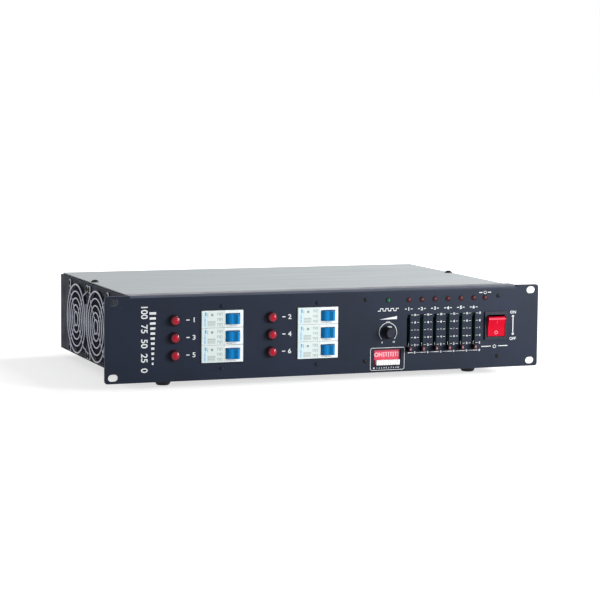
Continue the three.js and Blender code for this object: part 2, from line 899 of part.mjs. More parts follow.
// Address switch: the body behind the window and ten keys that slide up
const keyBase = -dipBodyHeight / 2 + dipKeyRise;
const keyCentre = keyBase + dipKeyHeight / 2;
const stemCentre = keyBase + dipSlotGap + dipStemHeight / 2;
const keyX = [];
for (let i = 0; i < dipKeyCount; i += 1) {
  keyX.push((i - (dipKeyCount - 1) / 2) * dipKeyPitch);
}
function dipBodyGeometry() {
  const back = boardFront - seatGap;
  const body = block(0, 0, dipBodyWidth, dipBodyHeight, dipFaceDepth, back);
  const slotWidth = dipStemWidth + 2 * dipSlotGap;
  const slotHeight = dipStemHeight + dipKeyTravel + 2 * dipSlotGap;
  const slotCentre = stemCentre + dipKeyTravel / 2;
  const slotFront = dipFaceDepth - cutOverrun;
  const slotBack = dipFaceDepth + dipStemDepth + dipSlotGap;
  const cuts = keyX.map((x) => (
    block(x, slotCentre, slotWidth, slotHeight, slotFront, slotBack)
  ));
  return build(body, [], cuts);
}
function dipKeyGeometry() {
  const headBack = dipFaceDepth - dipSlotGap;
  const head = block(0, keyCentre, dipKeyWidth, dipKeyHeight, -dipKeyProud, headBack);
  const stemFront = headBack - jointOverlap;
  const stemBack = dipFaceDepth + dipStemDepth;
  const stem = block(0, stemCentre, dipStemWidth, dipStemHeight, stemFront, stemBack);
  return build(head, [stem]);
}
addPiece('address_switch', dipBodyGeometry(), 'dipBody').position.set(knobX, 0, dipZ);
keyX.forEach((x, i) => {
  const key = addPiece(`address_key_${i + 1}`, dipKeyGeometry(), 'dipKey');
  key.position.set(knobX + x, 0, dipZ);
});

// Power switch: bezel, body and connection blades, with the rocker in its well
function rockerFrameGeometry() {
  const bezelBack = -seatGap;
  const bezelFront = bezelBack - rockerBezelThickness;
  const bezel = block(0, 0, rockerBezelWidth, rockerBezelHeight, bezelFront, bezelBack);
  const bodyFront = bezelBack - jointOverlap;
  const joins = [block(0, 0, rockerBodyWidth, rockerBodyHeight, bodyFront, rockerBodyDepth)];
  const bladeBack = rockerBodyDepth + rockerBladeLength;
  const bladeFront = rockerBodyDepth - jointOverlap;
  for (const side of [-1, 1]) {
    for (const level of [-1, 1]) {
      const x = (side * rockerBladeSpacing) / 2;
      const z = level * rockerBladeSpacing / 2;
      joins.push(block(x, z, rockerBladeThickness, rockerBladeWidth, bladeFront, bladeBack));
    }
  }
  const wellFront = bezelFront - cutOverrun;
  const wellBack = rockerBodyDepth - rockerBackThickness;
  const well = block(0, 0, rockerWellWidth, rockerWellHeight, wellFront, wellBack);
  return build(bezel, joins, [well]);
}
function rockerGeometry() {
  const bezelFront = -seatGap - rockerBezelThickness;
  const face = bezelFront - rockerKeyProud - rockerPivotDepth;
  const half = rockerKeyHeight / 2;
  const back = rockerKeyBackHeight / 2;
  const outline = [
    [face, -half],
    [face + rockerKeySideDepth, -half],
    [face + rockerKeySideDepth + rockerKeyDepth, -back],
    [face + rockerKeySideDepth + rockerKeyDepth, back],
    [face + rockerKeySideDepth, half],
    [face, half],
    [face + rockerKeyDish, 0],
  ];
  return prismAlongX(outline, -rockerKeyWidth / 2, rockerKeyWidth / 2);
}
const rockerFrame = addPiece('power_switch_frame', rockerFrameGeometry(), 'blackPlastic');
rockerFrame.position.set(rockerX, 0, rockerZ);
const rocker = addPiece('power_rocker', rockerGeometry(), 'rocker');
rocker.position.set(rockerX, rockerPivotDepth, rockerZ);
rocker.rotation.x = rockerTilt;

// Fans are built about an axis along X, with 0 on the face that meets the wall.
function axisBox(x0, x1, y, z, width, height) {
  return box(x0, x1, y - width / 2, y + width / 2, z - height / 2, z + height / 2);
}

function axisRod(radius, x0, x1, sides) {
  const geometry = rod(radius, x0, x1, sides, 0, 0);
  return turnAxisToX(geometry);
}

function fanFrameGeometry() {
  const face = axisBox(0, fanFlangeThickness, 0, 0, fanSize, fanSize);
  const backFlange = fanDepth - fanFlangeThickness;
  const rear = axisBox(backFlange, fanDepth, 0, 0, fanSize, fanSize);
  const inFace = fanFlangeThickness - jointOverlap;
  const inRear = backFlange + jointOverlap;
  const ring = axisRod(fanBoreRadius + fanRingWall, inFace, inRear, largeSides);
  let solid = toSolid(face).add(toSolid(rear)).add(toSolid(ring));
  const bore = axisRod(fanBoreRadius, -cutOverrun, fanDepth + cutOverrun, largeSides);
  solid = solid.subtract(toSolid(bore));
  const plateFront = fanDepth - fanPlateThickness;
  solid = solid.add(toSolid(axisRod(fanHubRadius, plateFront, fanDepth, middleSides)));
  const armLength = 2 * fanBoreRadius + 2 * jointOverlap;
  for (const turn of [Math.PI / 4, -Math.PI / 4]) {
    const arm = axisBox(plateFront, fanDepth, 0, 0, armLength, fanArmWidth);
    arm.rotateX(turn);
    solid = solid.add(toSolid(arm));
  }
  return toGeometry(solid);
}

// A blade is a flat bar twisted about its own length from root to tip.
function bladeGeometry() {
  const root = fanHubRadius - jointOverlap - fanBladeThickness;
  const tip = fanBoreRadius - fanBladeTipGap;
  const span = tip - root;
  const blade = new THREE.BoxGeometry(fanBladeThickness, fanBladeChord, span, 1, 1, bendSteps);
  const points = blade.attributes.position;
  for (let i = 0; i < points.count; i += 1) {
    const along = points.getZ(i) / span + 0.5;
    const twist = fanBladeRootTwist + (fanBladeTipTwist - fanBladeRootTwist) * along;
    const x = points.getX(i);
    const y = points.getY(i);
    const ax = x * Math.cos(twist) + y * Math.sin(twist);
    const ay = y * Math.cos(twist) - x * Math.sin(twist);
    points.setXYZ(i, ax, ay, points.getZ(i) + root + span / 2);
  }
  return blade;
}

function fanRotorGeometry() {
  const hub = axisRod(fanHubRadius, 0, fanRotorLength, middleSides);
  const joins = [];
  for (let i = 0; i < fanBladeCount; i += 1) {
    const blade = bladeGeometry();
    blade.translate(fanRotorLength / 2, 0, 0);
    blade.rotateX((2 * Math.PI * i) / fanBladeCount);
    joins.push(blade);
  }
  return build(hub, joins);
}

// Guard: concentric wire rings on four legs that bend in to their screw eyes
function fanGuardGeometry() {
  const guardOuterRadius = fanBoreRadius - guardRimGap;
  const bendRadius = fanBoreRadius + guardBendReach;
  const ringBack = -guardStandoff;
  const ringFront = ringBack - guardWire;
  let solid = null;
  for (let i = 0; i < guardRingCount; i += 1) {
    const step = (guardOuterRadius - guardInnerRadius) / (guardRingCount - 1);
    const inner = guardInnerRadius + i * step - guardWire / 2;
    const outer = inner + guardWire;
    const ring = turnAxisToX(turned([
      [inner, ringFront],
      [outer, ringFront],
      [outer, ringBack],
      [inner, ringBack],
      [inner, ringFront],
    ], middleSides));
    solid = solid ? solid.add(toSolid(ring)) : toSolid(ring);
  }
  const eyeReach = (fanSize / 2 - guardScrewInset) * Math.SQRT2;
  const legEnd = eyeReach - guardEyeRadius + guardWire;
  const legBend = bendRadius + guardStandoff;
  const half = guardWire / 2;
  const start = guardInnerRadius - half;
  const leg = [
    [ringFront + half, start],
    [ringBack + half, start],
    [ringBack + half, bendRadius],
    [0, legBend],
    [0, legEnd],
    [-guardWire, legEnd],
    [-guardWire, legBend],
    [ringFront + half, bendRadius + guardWire],
  ];
  for (let i = 0; i < guardLegCount; i += 1) {
    const turn = (2 * Math.PI * (i + 0.5)) / guardLegCount;
    const bar = prismAlongZ(leg, -half, half);
    bar.rotateX(turn);
    solid = solid.add(toSolid(bar));
    const eye = axisRod(guardEyeRadius, -guardWire, 0, smallSides);
    eye.translate(0, eyeReach * Math.cos(turn), eyeReach * Math.sin(turn));
    solid = solid.add(toSolid(eye));
    const hole = axisRod(guardEyeHoleRadius, -guardWire - cutOverrun, cutOverrun, smallSides);
    hole.translate(0, eyeReach * Math.cos(turn), eyeReach * Math.sin(turn));
    solid = solid.subtract(toSolid(hole));
  }
  return toGeometry(solid);
}

const wallInside = -halfChassis + sheetThickness;
['front', 'rear'].forEach((name, i) => {
  const frame = addPiece(`fan_frame_${name}`, fanFrameGeometry(), 'fanPlastic');
  frame.position.set(wallInside + seatGap, fanY[i], sideHeight);
  const rotor = addPiece(`fan_rotor_${name}`, fanRotorGeometry(), 'fanPlastic');
  const rotorFace = fanDepth - fanPlateThickness - seatGap - fanRotorLength;
  rotor.position.set(wallInside + seatGap + rotorFace, fanY[i], sideHeight);
  const guard = addPiece(`fan_guard_${name}`, fanGuardGeometry(), 'chrome');
  guard.position.set(-halfChassis - seatGap, fanY[i], sideHeight);
});

// Signal sockets, male with its pins in a well and female with a grooved insert
function socketBase() {
  const face = chassisDepth + seatGap;
  const flangeBack = face + socketFlangeThickness;
  const flange = block(0, 0, socketFlangeWidth, socketFlangeHeight, face, flangeBack);
  const barrelFront = chassisDepth - socketBarrelLength;
  const inFlange = face + jointOverlap;
  const barrel = rod(socketBarrelRadius, barrelFront, inFlange, middleSides, 0, 0);
  return { flange, barrel, outside: flangeBack };
}

function contactPlaces() {
  const places = [];
  for (let i = 0; i < socketContactCount; i += 1) {
    const angle = Math.PI * (i / (socketContactCount - 1));
    places.push([socketContactCircle * Math.cos(angle), -socketContactCircle * Math.sin(angle)]);
  }
  return places;
}

function maleSocketGeometry() {
  const { flange, barrel, outside } = socketBase();
  const floor = outside - socketWellDepth;
  const well = rod(socketWellRadius, floor, outside + cutOverrun, middleSides, 0, 0);
  let solid = toSolid(flange).add(toSolid(barrel)).subtract(toSolid(well));
  const pinEnd = floor + socketContactLength;
  for (const [x, z] of contactPlaces()) {
    const pin = rod(socketContactRadius, floor - jointOverlap, pinEnd, smallSides, x, z);
    solid = solid.add(toSolid(pin));
  }
  return toGeometry(solid);
}

function femaleSocketGeometry() {
  const { flange, barrel, outside } = socketBase();
  const grooveFloor = outside - socketGrooveDepth;
  const grooveEnd = outside + cutOverrun;
  const groove = turned([
    [socketInsertRadius, grooveFloor],
    [socketWellRadius, grooveFloor],
    [socketWellRadius, grooveEnd],
    [socketInsertRadius, grooveEnd],
    [socketInsertRadius, grooveFloor],
  ], middleSides);
  const holeFloor = outside - socketContactLength;
  const holes = contactPlaces().map(([x, z]) => (
    rod(socketContactHoleRadius, holeFloor, grooveEnd, smallSides, x, z)
  ));
  const tabZ = (socketFlangeHeight - socketTabHeight) / 2;
  const tabFront = outside - jointOverlap;
  const tabBack = outside + socketTabProud;
  const tab = block(0, tabZ, socketTabWidth, socketTabHeight, tabFront, tabBack);
  return build(flange, [barrel, tab], [groove, ...holes]);
}
const signalOut = addPiece('signal_out_socket', femaleSocketGeometry(), 'nickel');
signalOut.position.set(signalSocketX[0], 0, sideHeight);
const signalIn = addPiece('signal_in_socket', maleSocketGeometry(), 'nickel');
signalIn.position.set(signalSocketX[1], 0, sideHeight);

// Output socket: square flange and a round shell about its well
function outputSocketGeometry() {
  const face = chassisDepth + seatGap;
  const flangeBack = face + outputFlangeThickness;
  const flange = block(0, 0, outputFlangeSize, outputFlangeSize, face, flangeBack);
  const shellEnd = face + outputShellLength;
  const shell = rod(outputShellRadius, face, shellEnd, middleSides, 0, 0);
  const bodyFront = chassisDepth - outputBodyLength;
  const body = rod(outputBodyRadius, bodyFront, face + jointOverlap, middleSides, 0, 0);
  const wellFloor = shellEnd - outputWellDepth;
  const well = rod(outputWellRadius, wellFloor, shellEnd + cutOverrun, middleSides, 0, 0);
  return build(flange, [shell, body], [well]);
}
const outputSocket = addPiece('output_socket', outputSocketGeometry(), 'nickel');
outputSocket.position.set(outputSocketX, 0, sideHeight);

// Mains gland: hexagon and domed nut outside, lock nut inside, one bore through all
function hexagon(radius) {
  return circle(0, 0, radius, hexagonSides);
}
function glandGeometry() {
  const face = chassisDepth + seatGap;
  const hexEnd = face + glandHexHeight;
  const end = hexEnd + glandDomeLength;
  const shoulder = hexEnd + glandDomeShoulder;
  const hex = prismAlongY(hexagon(glandHexRadius), face, hexEnd);
  const dome = turned([
    [0, hexEnd - jointOverlap],
    [glandDomeRadius, hexEnd - jointOverlap],
    [glandDomeRadius, shoulder],
    [glandDomeTipRadius, end],
    [0, end],
  ], middleSides);
  const nutBack = rearPanelFront - seatGap;
  const nutFront = nutBack - glandNutThickness;
  const tail = nutFront - glandThreadTail;
  const thread = rod(glandThreadRadius, tail, face + jointOverlap, middleSides, 0, 0);
  const nut = prismAlongY(hexagon(glandNutRadius), nutFront, nutBack);
  const boreFront = tail - cutOverrun;
  const bore = rod(glandBoreRadius, boreFront, end + cutOverrun, middleSides, 0, 0);
  return build(hex, [dome, thread, nut], [bore]);
}
addPiece('mains_gland', glandGeometry(), 'blackPlastic').position.set(glandX, 0, sideHeight);

// Dimmer board on posts, with a finned heat sink at its front and chokes behind
const powerBoardFront = notchFloor + seatGap + railDepth + powerBoardFrontGap;
const powerBoardRear = chassisDepth - outputBodyLength - powerBoardRearGap;
const powerBoardY = (powerBoardFront + powerBoardRear) / 2;
const powerBoardLeft = wallInside + seatGap + fanDepth + fanToPowerBoard;
const powerBoardRight = halfChassis - powerBoardToWall;
const powerBoardX = (powerBoardLeft + powerBoardRight) / 2;
function dimmerBoardGeometry() {
  const base = floorTop + powerBoardLift;
  const top = base + powerBoardThickness;
  const halfX = (powerBoardRight - powerBoardLeft) / 2;
  const halfY = (powerBoardRear - powerBoardFront) / 2;
  const sheet = box(-halfX, halfX, -halfY, halfY, base, top);
  const joins = [];
  for (const side of [-1, 1]) {
    for (const end of [-1, 1]) {
      const postTop = base + jointOverlap - floorTop - seatGap;
      const post = rod(powerPostRadius, 0, postTop, smallSides, 0, 0);
      post.rotateX(Math.PI / 2);
      const x = side * (halfX - powerPostInset);
      const y = end * (halfY - powerPostInset);
      post.translate(x, y, floorTop + seatGap);
      joins.push(post);
    }
  }
  const sinkFront = -halfY + sinkSetback;
  const sinkBack = sinkFront + sinkLength;
  const sinkTop = top + sinkBaseThickness;
  const halfSink = halfX - sinkInset;
  const inBoard = top - jointOverlap;
  joins.push(box(-halfSink, halfSink, sinkFront, sinkBack, inBoard, sinkTop));
  const finStep = (2 * halfSink - sinkFinThickness) / (sinkFinCount - 1);
  for (let i = 0; i < sinkFinCount; i += 1) {
    const x = -halfSink + i * finStep;
    const finBase = sinkTop - jointOverlap;
    const finTop = sinkTop + sinkFinHeight;
    joins.push(box(x, x + sinkFinThickness, sinkFront, sinkBack, finBase, finTop));
  }
  const chokeRoom = halfY - sinkBack;
  const chokeRadius = chokeRoom * chokeRadiusShare;
  const chokeHole = chokeRadius * chokeHoleShare;
  for (const share of chokeRowShares) {
    for (let i = 0; i < chokesPerRow; i += 1) {
      const choke = turned([
        [chokeHole, 0],
        [chokeRadius, 0],
        [chokeRadius, chokeHeight],
        [chokeHole, chokeHeight],
        [chokeHole, 0],
      ], smallSides);
      choke.rotateX(Math.PI / 2);
      const x = (i - (chokesPerRow - 1) / 2) * 2 * halfX * chokeSpacingShare;
      choke.translate(x, sinkBack + chokeRoom * share, inBoard);
      joins.push(choke);
    }
  }
  return build(sheet, joins);
}
addPiece('dimmer_board', dimmerBoardGeometry(), 'board').position.set(powerBoardX, powerBoardY, 0);

export default pack;
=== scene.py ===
import math

import bmesh
import bpy
from mathutils import Matrix, Vector


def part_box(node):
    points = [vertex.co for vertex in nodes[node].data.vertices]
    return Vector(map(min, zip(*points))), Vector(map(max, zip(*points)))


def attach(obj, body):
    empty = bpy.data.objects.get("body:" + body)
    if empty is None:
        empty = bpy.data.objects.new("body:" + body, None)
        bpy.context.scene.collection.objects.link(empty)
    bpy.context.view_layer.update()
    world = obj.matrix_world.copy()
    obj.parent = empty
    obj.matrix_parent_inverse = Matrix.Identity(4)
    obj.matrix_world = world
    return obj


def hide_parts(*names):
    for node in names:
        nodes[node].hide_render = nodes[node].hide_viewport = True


# Rack dimmer pack for stage lighting. Places on it are in millimetres: x from the middle to
# the right, y behind the front panel's face, z above the panel's lower edge.

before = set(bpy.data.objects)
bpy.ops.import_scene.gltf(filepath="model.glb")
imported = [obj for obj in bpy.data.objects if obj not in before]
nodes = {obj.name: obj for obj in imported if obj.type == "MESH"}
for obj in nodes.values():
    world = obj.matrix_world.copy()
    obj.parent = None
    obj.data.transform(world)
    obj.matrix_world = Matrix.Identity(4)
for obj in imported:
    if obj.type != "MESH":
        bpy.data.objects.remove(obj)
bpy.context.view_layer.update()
mm = 0.001
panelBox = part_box("front_panel")
panelFrame = Matrix.Translation((0, panelBox[0].y, panelBox[0].z)) @ Matrix.Scale(mm, 4)
toPanel = panelFrame.inverted()
weld = 1e-6


def linear(hexColour):
    # sRGB hex to the linear values that the shaders take
    parts = [int(hexColour[i:i + 2], 16) / 255 for i in (1, 3, 5)]
    return [c / 12.92 if c <= 0.04045 else ((c + 0.055) / 1.055) ** 2.4 for c in parts] + [1]


def link(tree, source, socket):
    # a node stands for its first output
    tree.links.new(source.outputs[0] if hasattr(source, "outputs") else source, socket)


def addNode(tree, kind, settings=None, links=None):
    node = tree.nodes.new("ShaderNode" + kind)
    for key, value in (settings or {}).items():
        if isinstance(key, int) or key in node.inputs:
            node.inputs[key].default_value = value
        else:
            setattr(node, key, value)
    for key, source in (links or {}).items():
        link(tree, source, node.inputs[key])
    return node


def addNoise(tree, size, detail, where):
    return addNode(tree, "TexNoise", {"Scale": 1 / (size * mm), "Detail": detail},
                   {"Vector": where}).outputs["Fac"]


def addRange(tree, value, start, end, low=0.0, high=1.0, kind="LINEAR"):
    return addNode(tree, "MapRange", {"interpolation_type": kind, "From Min": start,
                                      "From Max": end, "To Min": low, "To Max": high},
                   {"Value": value})


def addMix(tree, amount, one, two):
    # from a colour, or from the mix before it, to another colour
    mix = addNode(tree, "Mix", {"data_type": "RGBA", 7: linear(two)}, {0: amount})
    if isinstance(one, str):
        mix.inputs[6].default_value = linear(one)
    else:
        link(tree, one, mix.inputs[6])
    return mix.outputs[2]


def makeFinish(name, colour, shade, drift, roughness, bump, wear=None, rub=0.5, specks=0,
               stretch=(1, 1, 1), ior=1.5, metallic=0.0):
    # colour turns to shade over the first drift and roughness over the second, both in mm;
    # bump is its grain and depth in mm; wear is the colour of rubbed edges
    material = made[name] = bpy.data.materials.new(name)
    material.use_nodes = True
    tree = material.node_tree
    shader = tree.nodes["Principled BSDF"]
    shader.inputs["IOR"].default_value = ior
    shader.inputs["Metallic"].default_value = metallic
    where = addNode(tree, "TexCoord").outputs["Object"]
    drawn = addNode(tree, "Mapping", {"Scale": [1 / s for s in stretch]}, {"Vector": where})
    cloud = addRange(tree, addNoise(tree, drift[0], 5.0, drawn), 0.32, 0.68)
    tint = addMix(tree, cloud, colour, shade)
    smear = addNoise(tree, drift[1], 6.0, drawn)
    link(tree, addRange(tree, smear, 0.35, 0.65, *roughness), shader.inputs["Roughness"])
    if specks:
        # dust and tiny chips, a light dot every few millimetres
        dots = addNode(tree, "TexVoronoi", {"Scale": 1 / (specks * mm)}, {"Vector": where})
        tint = addMix(tree, addRange(tree, dots, 0.07, 0.03, 0, 0.35), tint, wear)
    if wear:
        # edges rubbed paler: the rounded normal leaves the flat one only close to an edge
        soft = addNode(tree, "Bevel", {"samples": 4, "Radius": 0.7 * mm})
        near = addNode(tree, "VectorMath", {"operation": "DOT_PRODUCT"},
                       {0: soft, 1: addNode(tree, "NewGeometry").outputs["Normal"]})
        edge = addRange(tree, near.outputs["Value"], 0.995, 0.85, 0, rub)
        worn = addNode(tree, "Math", {"operation": "MULTIPLY"},
                       {0: edge, 1: addRange(tree, smear, 0.45, 0.65, 0.15)})
        tint = addMix(tree, worn, tint, wear)
    link(tree, tint, shader.inputs["Base Color"])
    relief = addNode(tree, "Bump", {"Strength": 1.0, "Distance": bump[1] * mm},
                     {"Height": addNoise(tree, bump[0], 3.0, drawn)})
    link(tree, relief, shader.inputs["Normal"])


# shapes

def turnBy(degrees, axis):
    return Matrix.Rotation(math.radians(degrees), 4, axis)


def roundEdges(shape, edges, width, steps=2):
    bmesh.ops.bevel(shape, geom=edges, offset=width, segments=steps, affect="EDGES", profile=0.5,
                    clamp_overlap=True)


def addThing(name, data):
    thing = bpy.data.objects.new(name, data)
    bpy.context.scene.collection.objects.link(thing)
    return thing


def meshOf(thing):
    # the mesh that its modifiers or its text give
    view = bpy.context.evaluated_depsgraph_get()
    return bpy.data.meshes.new_from_object(thing.evaluated_get(view))


def within(value, limits):
    return limits[0] < value < limits[1]


def sharpEdges(shape, degrees):
    return [e for e in shape.edges
            if e.is_manifold and e.calc_face_angle(0) > math.radians(degrees)]


def paint(shape, known, index):
    for face in shape.faces:
        if face not in known:
            face.material_index = index
            face.smooth = True


def addBox(shape, low, high, edge=0.0, steps=2, index=0):
    known = set(shape.faces)
    corners = bmesh.ops.create_cube(shape, size=1)["verts"]
    for corner in corners:
        corner.co = [low[i] if corner.co[i] < 0 else high[i] for i in range(3)]
    if edge:
        roundEdges(shape, list({e for corner in corners for e in corner.link_edges}), edge, steps)
    paint(shape, known, index)


def addPlate(shape, wide, tall, front, back, edge=0.0, steps=2, index=0):
    addBox(shape, (-wide / 2, front, -tall / 2), (wide / 2, back, tall / 2), edge, steps, index)


def addPrism(shape, outline, y0, y1, edge=0.0, steps=2, index=0, place=None):
    # an outline in x and z pushed along y, or moved elsewhere by place
    known = set(shape.faces)
    front = [shape.verts.new((x, y0, z)) for x, z in outline]
    back = [shape.verts.new((x, y1, z)) for x, z in outline]
    shape.faces.new(front)
    shape.faces.new(back[::-1])
    for i in range(len(outline)):
        shape.faces.new((front[i - 1], front[i], back[i], back[i - 1]))
    if edge:
        roundEdges(shape, list({e for v in front for e in v.link_edges}), edge, steps)
    paint(shape, known, index)
    if place:
        moved = {v for face in shape.faces if face not in known for v in face.verts}
        bmesh.ops.transform(shape, matrix=place, verts=list(moved))


def soften(profile, radius, steps=3):
    # rounds the corners of a turned profile
    points = [profile[0]]
    for before, here, after in zip(profile, profile[1:], profile[2:]):
        here = Vector(here)
        reach = [Vector(p) - here for p in (before, after)]
        a, b = [here + r.normalized() * min(radius, r.length * 0.49) for r in reach]
        for i in range(steps + 1):
            t = i / steps
            points.append(a * (1 - t) ** 2 + here * 2 * t * (1 - t) + b * t ** 2)
    return [*points, profile[-1]]


def addTurned(shape, profile, centre=(0, 0, 0), axis="y", steps=40, index=0, flutes=0,
              dip=0.0):
    # profile of (radius, along); flutes dip into the radius, as on a knob
    known = set(shape.faces)
    rings = []
    for radius, along in profile:
        ring = []
        for i in range(steps if radius else 1):
            angle = 2 * math.pi * i / steps
            reach = radius and radius - dip * (0.5 + 0.5 * math.cos(flutes * angle))
            a, b = reach * math.cos(angle), reach * math.sin(angle)
            spot = {"x": (along, a, b), "y": (a, along, b), "z": (a, b, along)}[axis]
            ring.append(shape.verts.new(Vector(centre) + Vector(spot)))
        rings.append(ring)
    if tuple(profile[0]) == tuple(profile[-1]) and len(rings[0]) > 1:
        for v in rings.pop():
            shape.verts.remove(v)
        rings.append(rings[0])
    for one, two in zip(rings, rings[1:]):
        for i in range(steps):
            corners = ((one, i), (one, i + 1), (two, i + 1), (two, i))
            corners = list(dict.fromkeys(ring[k % len(ring)] for ring, k in corners))
            if len(corners) > 2:
                shape.faces.new(corners)
    paint(shape, known, index)


def alongLine(points, closed):
    # each point of a line with the way through it and the way out of it
    points = [Vector(p) for p in points]
    for i, point in enumerate(points):
        before = points[i - 1] if closed or i else point
        after = points[(i + 1) % len(points)] if closed or point is not points[-1] else point
        step = after - point if after != point else point - before
        yield point, (after - before).normalized(), step.normalized()


def addTube(shape, points, radius, closed=False, sides=10):
    known = set(shape.faces)
    rings, side = [], None
    for point, along, _ in alongLine(points, closed):
        if side is None:
            side = along.orthogonal().normalized()
        side = (side - along * side.dot(along)).normalized()
        other = along.cross(side)
        ring = []
        for k in range(sides):
            angle = 2 * math.pi * k / sides
            reach = side * math.cos(angle) + other * math.sin(angle)
            ring.append(shape.verts.new(point + radius * reach))
        rings.append(ring)
    pairs = list(zip(rings, rings[1:])) + ([(rings[-1], rings[0])] if closed else [])
    for one, two in pairs:
        shift = 0
        if two is rings[0] and closed:
            gaps = [(one[0].co - v.co).length for v in two]
            shift = gaps.index(min(gaps))
        for k in range(sides):
            m = (k + 1) % sides
            corners = (one[k], one[m], two[(m + shift) % sides], two[(k + shift) % sides])
            shape.faces.new(corners)
    if not closed:
        shape.faces.new(rings[0][::-1])
        shape.faces.new(rings[-1])
    paint(shape, known, 0)


def addCopies(shape, mesh, places, index=None):
    for place in places:
        known = set(shape.faces)
        count = len(shape.verts)
        shape.from_mesh(mesh)
        shape.verts.ensure_lookup_table()
        bmesh.ops.transform(shape, matrix=place, verts=shape.verts[count:])
        if index is not None:
            paint(shape, known, index)


def toMesh(name, shape, place=panelFrame):
    bmesh.ops.recalc_face_normals(shape, faces=shape.faces)
    mesh = bpy.data.meshes.new(name)
    shape.to_mesh(mesh)
    shape.free()
    if place:
        mesh.transform(place)
    return mesh


def setPiece(name, mesh, finishes, stands=(), spot=None, body="case", even=True,
             shadeAngle=50):
    # finishes names its materials in the order of its faces' indices; a shape still being
    # drawn is in the panel's millimetres
    if isinstance(mesh, bmesh.types.BMesh):
        mesh = toMesh(name, mesh)
    piece = addThing(name, mesh)
    if not mesh.materials:
        for finish in finishes.split():
            mesh.materials.append(made[finish])
        mesh.set_sharp_from_angle(angle=math.radians(shadeAngle))
    if spot is not None:
        piece.matrix_world = spot
    if even:
        piece.modifiers.new("evenNormals", "WEIGHTED_NORMAL").keep_sharp = True
    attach(piece, body)
    if stands:
        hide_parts(*stands)


def softCopy(node, edge, steps=2):
    # the CAD solid with its coplanar facets joined and its sharp edges rounded
    shape = bmesh.new()
    shape.from_mesh(nodes[node].data)
    bmesh.ops.remove_doubles(shape, verts=shape.verts, dist=weld)
    bmesh.ops.dissolve_limit(shape, angle_limit=math.radians(0.5), verts=shape.verts,
                             edges=shape.edges)
    if edge:
        roundEdges(shape, sharpEdges(shape, 31), edge * mm, steps)
    paint(shape, (), 0)
    mesh = bpy.data.meshes.new(node + "_soft")
    shape.to_mesh(mesh)
    shape.free()
    return mesh


def setCopy(name, node, edge, finishes, steps=2):
    setPiece(name, softCopy(node, edge, steps), finishes, [node])


def spotOf(x, y, z):
    # where a shared mesh drawn about its own zero goes, with its millimetres
    return panelFrame @ Matrix.Translation((x, y, z))


def arcPoints(x, z, radius, start, end, steps=32):
    angles = [math.radians(start + (end - start) * i / steps) for i in range(steps + 1)]
    return [(x + radius * math.cos(a), z + radius * math.sin(a)) for a in angles]


def roundedOutline(x, z, width, height, radius):
    points = []
    for corner, (sx, sz) in enumerate(((1, -1), (1, 1), (-1, 1), (-1, -1))):
        points += arcPoints(x + sx * (width / 2 - radius), z + sz * (height / 2 - radius), radius,
                            90 * corner - 90, 90 * corner, 5)
    return points


# camera, light and floor

camera = {
    "place": (-0.79832, -2.13568, 0.31029),
    "yaw": 21.0184,
    "pitch": 6.0058,
    "roll": 0.53,
    "lens": 125.02,
    "sensor": 36.0,
}
eye = addThing("camera", bpy.data.cameras.new("camera"))
eye.data.lens = camera["lens"]
eye.data.sensor_width = camera["sensor"]
aim = turnBy(-camera["yaw"], "Z") @ turnBy(90 - camera["pitch"], "X")
eye.matrix_world = Matrix.Translation(camera["place"]) @ aim @ turnBy(camera["roll"], "Z")
bpy.context.scene.camera = eye
bpy.context.scene.view_settings.view_transform = "Standard"

studio = {
    "floorColours": ("#d2d2d2", "#d6d6d6"),
    "floorSize": 60.0,
    "floorClear": (0.3, 1.2),
    "floorGlow": 0.66,
    "aim": (0, 0, 0.05),
    "roomLight": 0.36,
    # place, size in metres and power of each lamp
    "lamps": {"key": ((1.0, -1.1, 0.36), 0.6, 23), "top": ((1.5, 0.1, 1.9), 0.5, 14),
              "side": ((2.4, 0.5, 1.3), 1.1, 48)},
}


for name, (place, size, power) in studio["lamps"].items():
    lamp = addThing(name, bpy.data.lights.new(name, "AREA"))
    lamp.data.shape = "SQUARE"
    lamp.data.size = size
    lamp.data.energy = power
    lamp.location = place
    way = Vector(studio["aim"]) - Vector(place)
    lamp.rotation_euler = way.to_track_quat("-Z", "Y").to_euler()


def addBackgroundRays(tree):
    # 1 for the rays that should see the white background: camera, glossy and see-through ones
    seen = addNode(tree, "LightPath").outputs
    pair = addNode(tree, "Math", {"operation": "MAXIMUM"},
                   {0: seen["Is Camera Ray"], 1: seen["Is Glossy Ray"]})
    return addNode(tree, "Math", {"operation": "MAXIMUM"},
                   {0: pair, 1: seen["Is Transmission Ray"]})


world = bpy.data.worlds.new("studio")
bpy.context.scene.world = world
world.use_nodes = True
air = world.node_tree
air.nodes.clear()
dim = addNode(air, "Background", {"Color": (1, 1, 1, 1), "Strength": studio["roomLight"]})
white = addNode(air, "Background", {"Color": (1, 1, 1, 1), "Strength": 1.0})
either = addNode(air, "MixShader", links={0: addBackgroundRays(air), 1: dim, 2: white})
addNode(air, "OutputWorld", links={"Surface": either})

floorFinish = bpy.data.materials.new("whitePaperFloor")
floorFinish.use_nodes = True
paper = floorFinish.node_tree
paper.nodes.clear()
where = addNode(paper, "TexCoord").outputs["Object"]
pulp = addMix(paper, addNoise(paper, 25, 4.0, where), *studio["floorColours"])
matt = addNode(paper, "BsdfDiffuse", links={"Color": pulp})
glow = addNode(paper, "Emission", {"Color": (1, 1, 1, 1)})
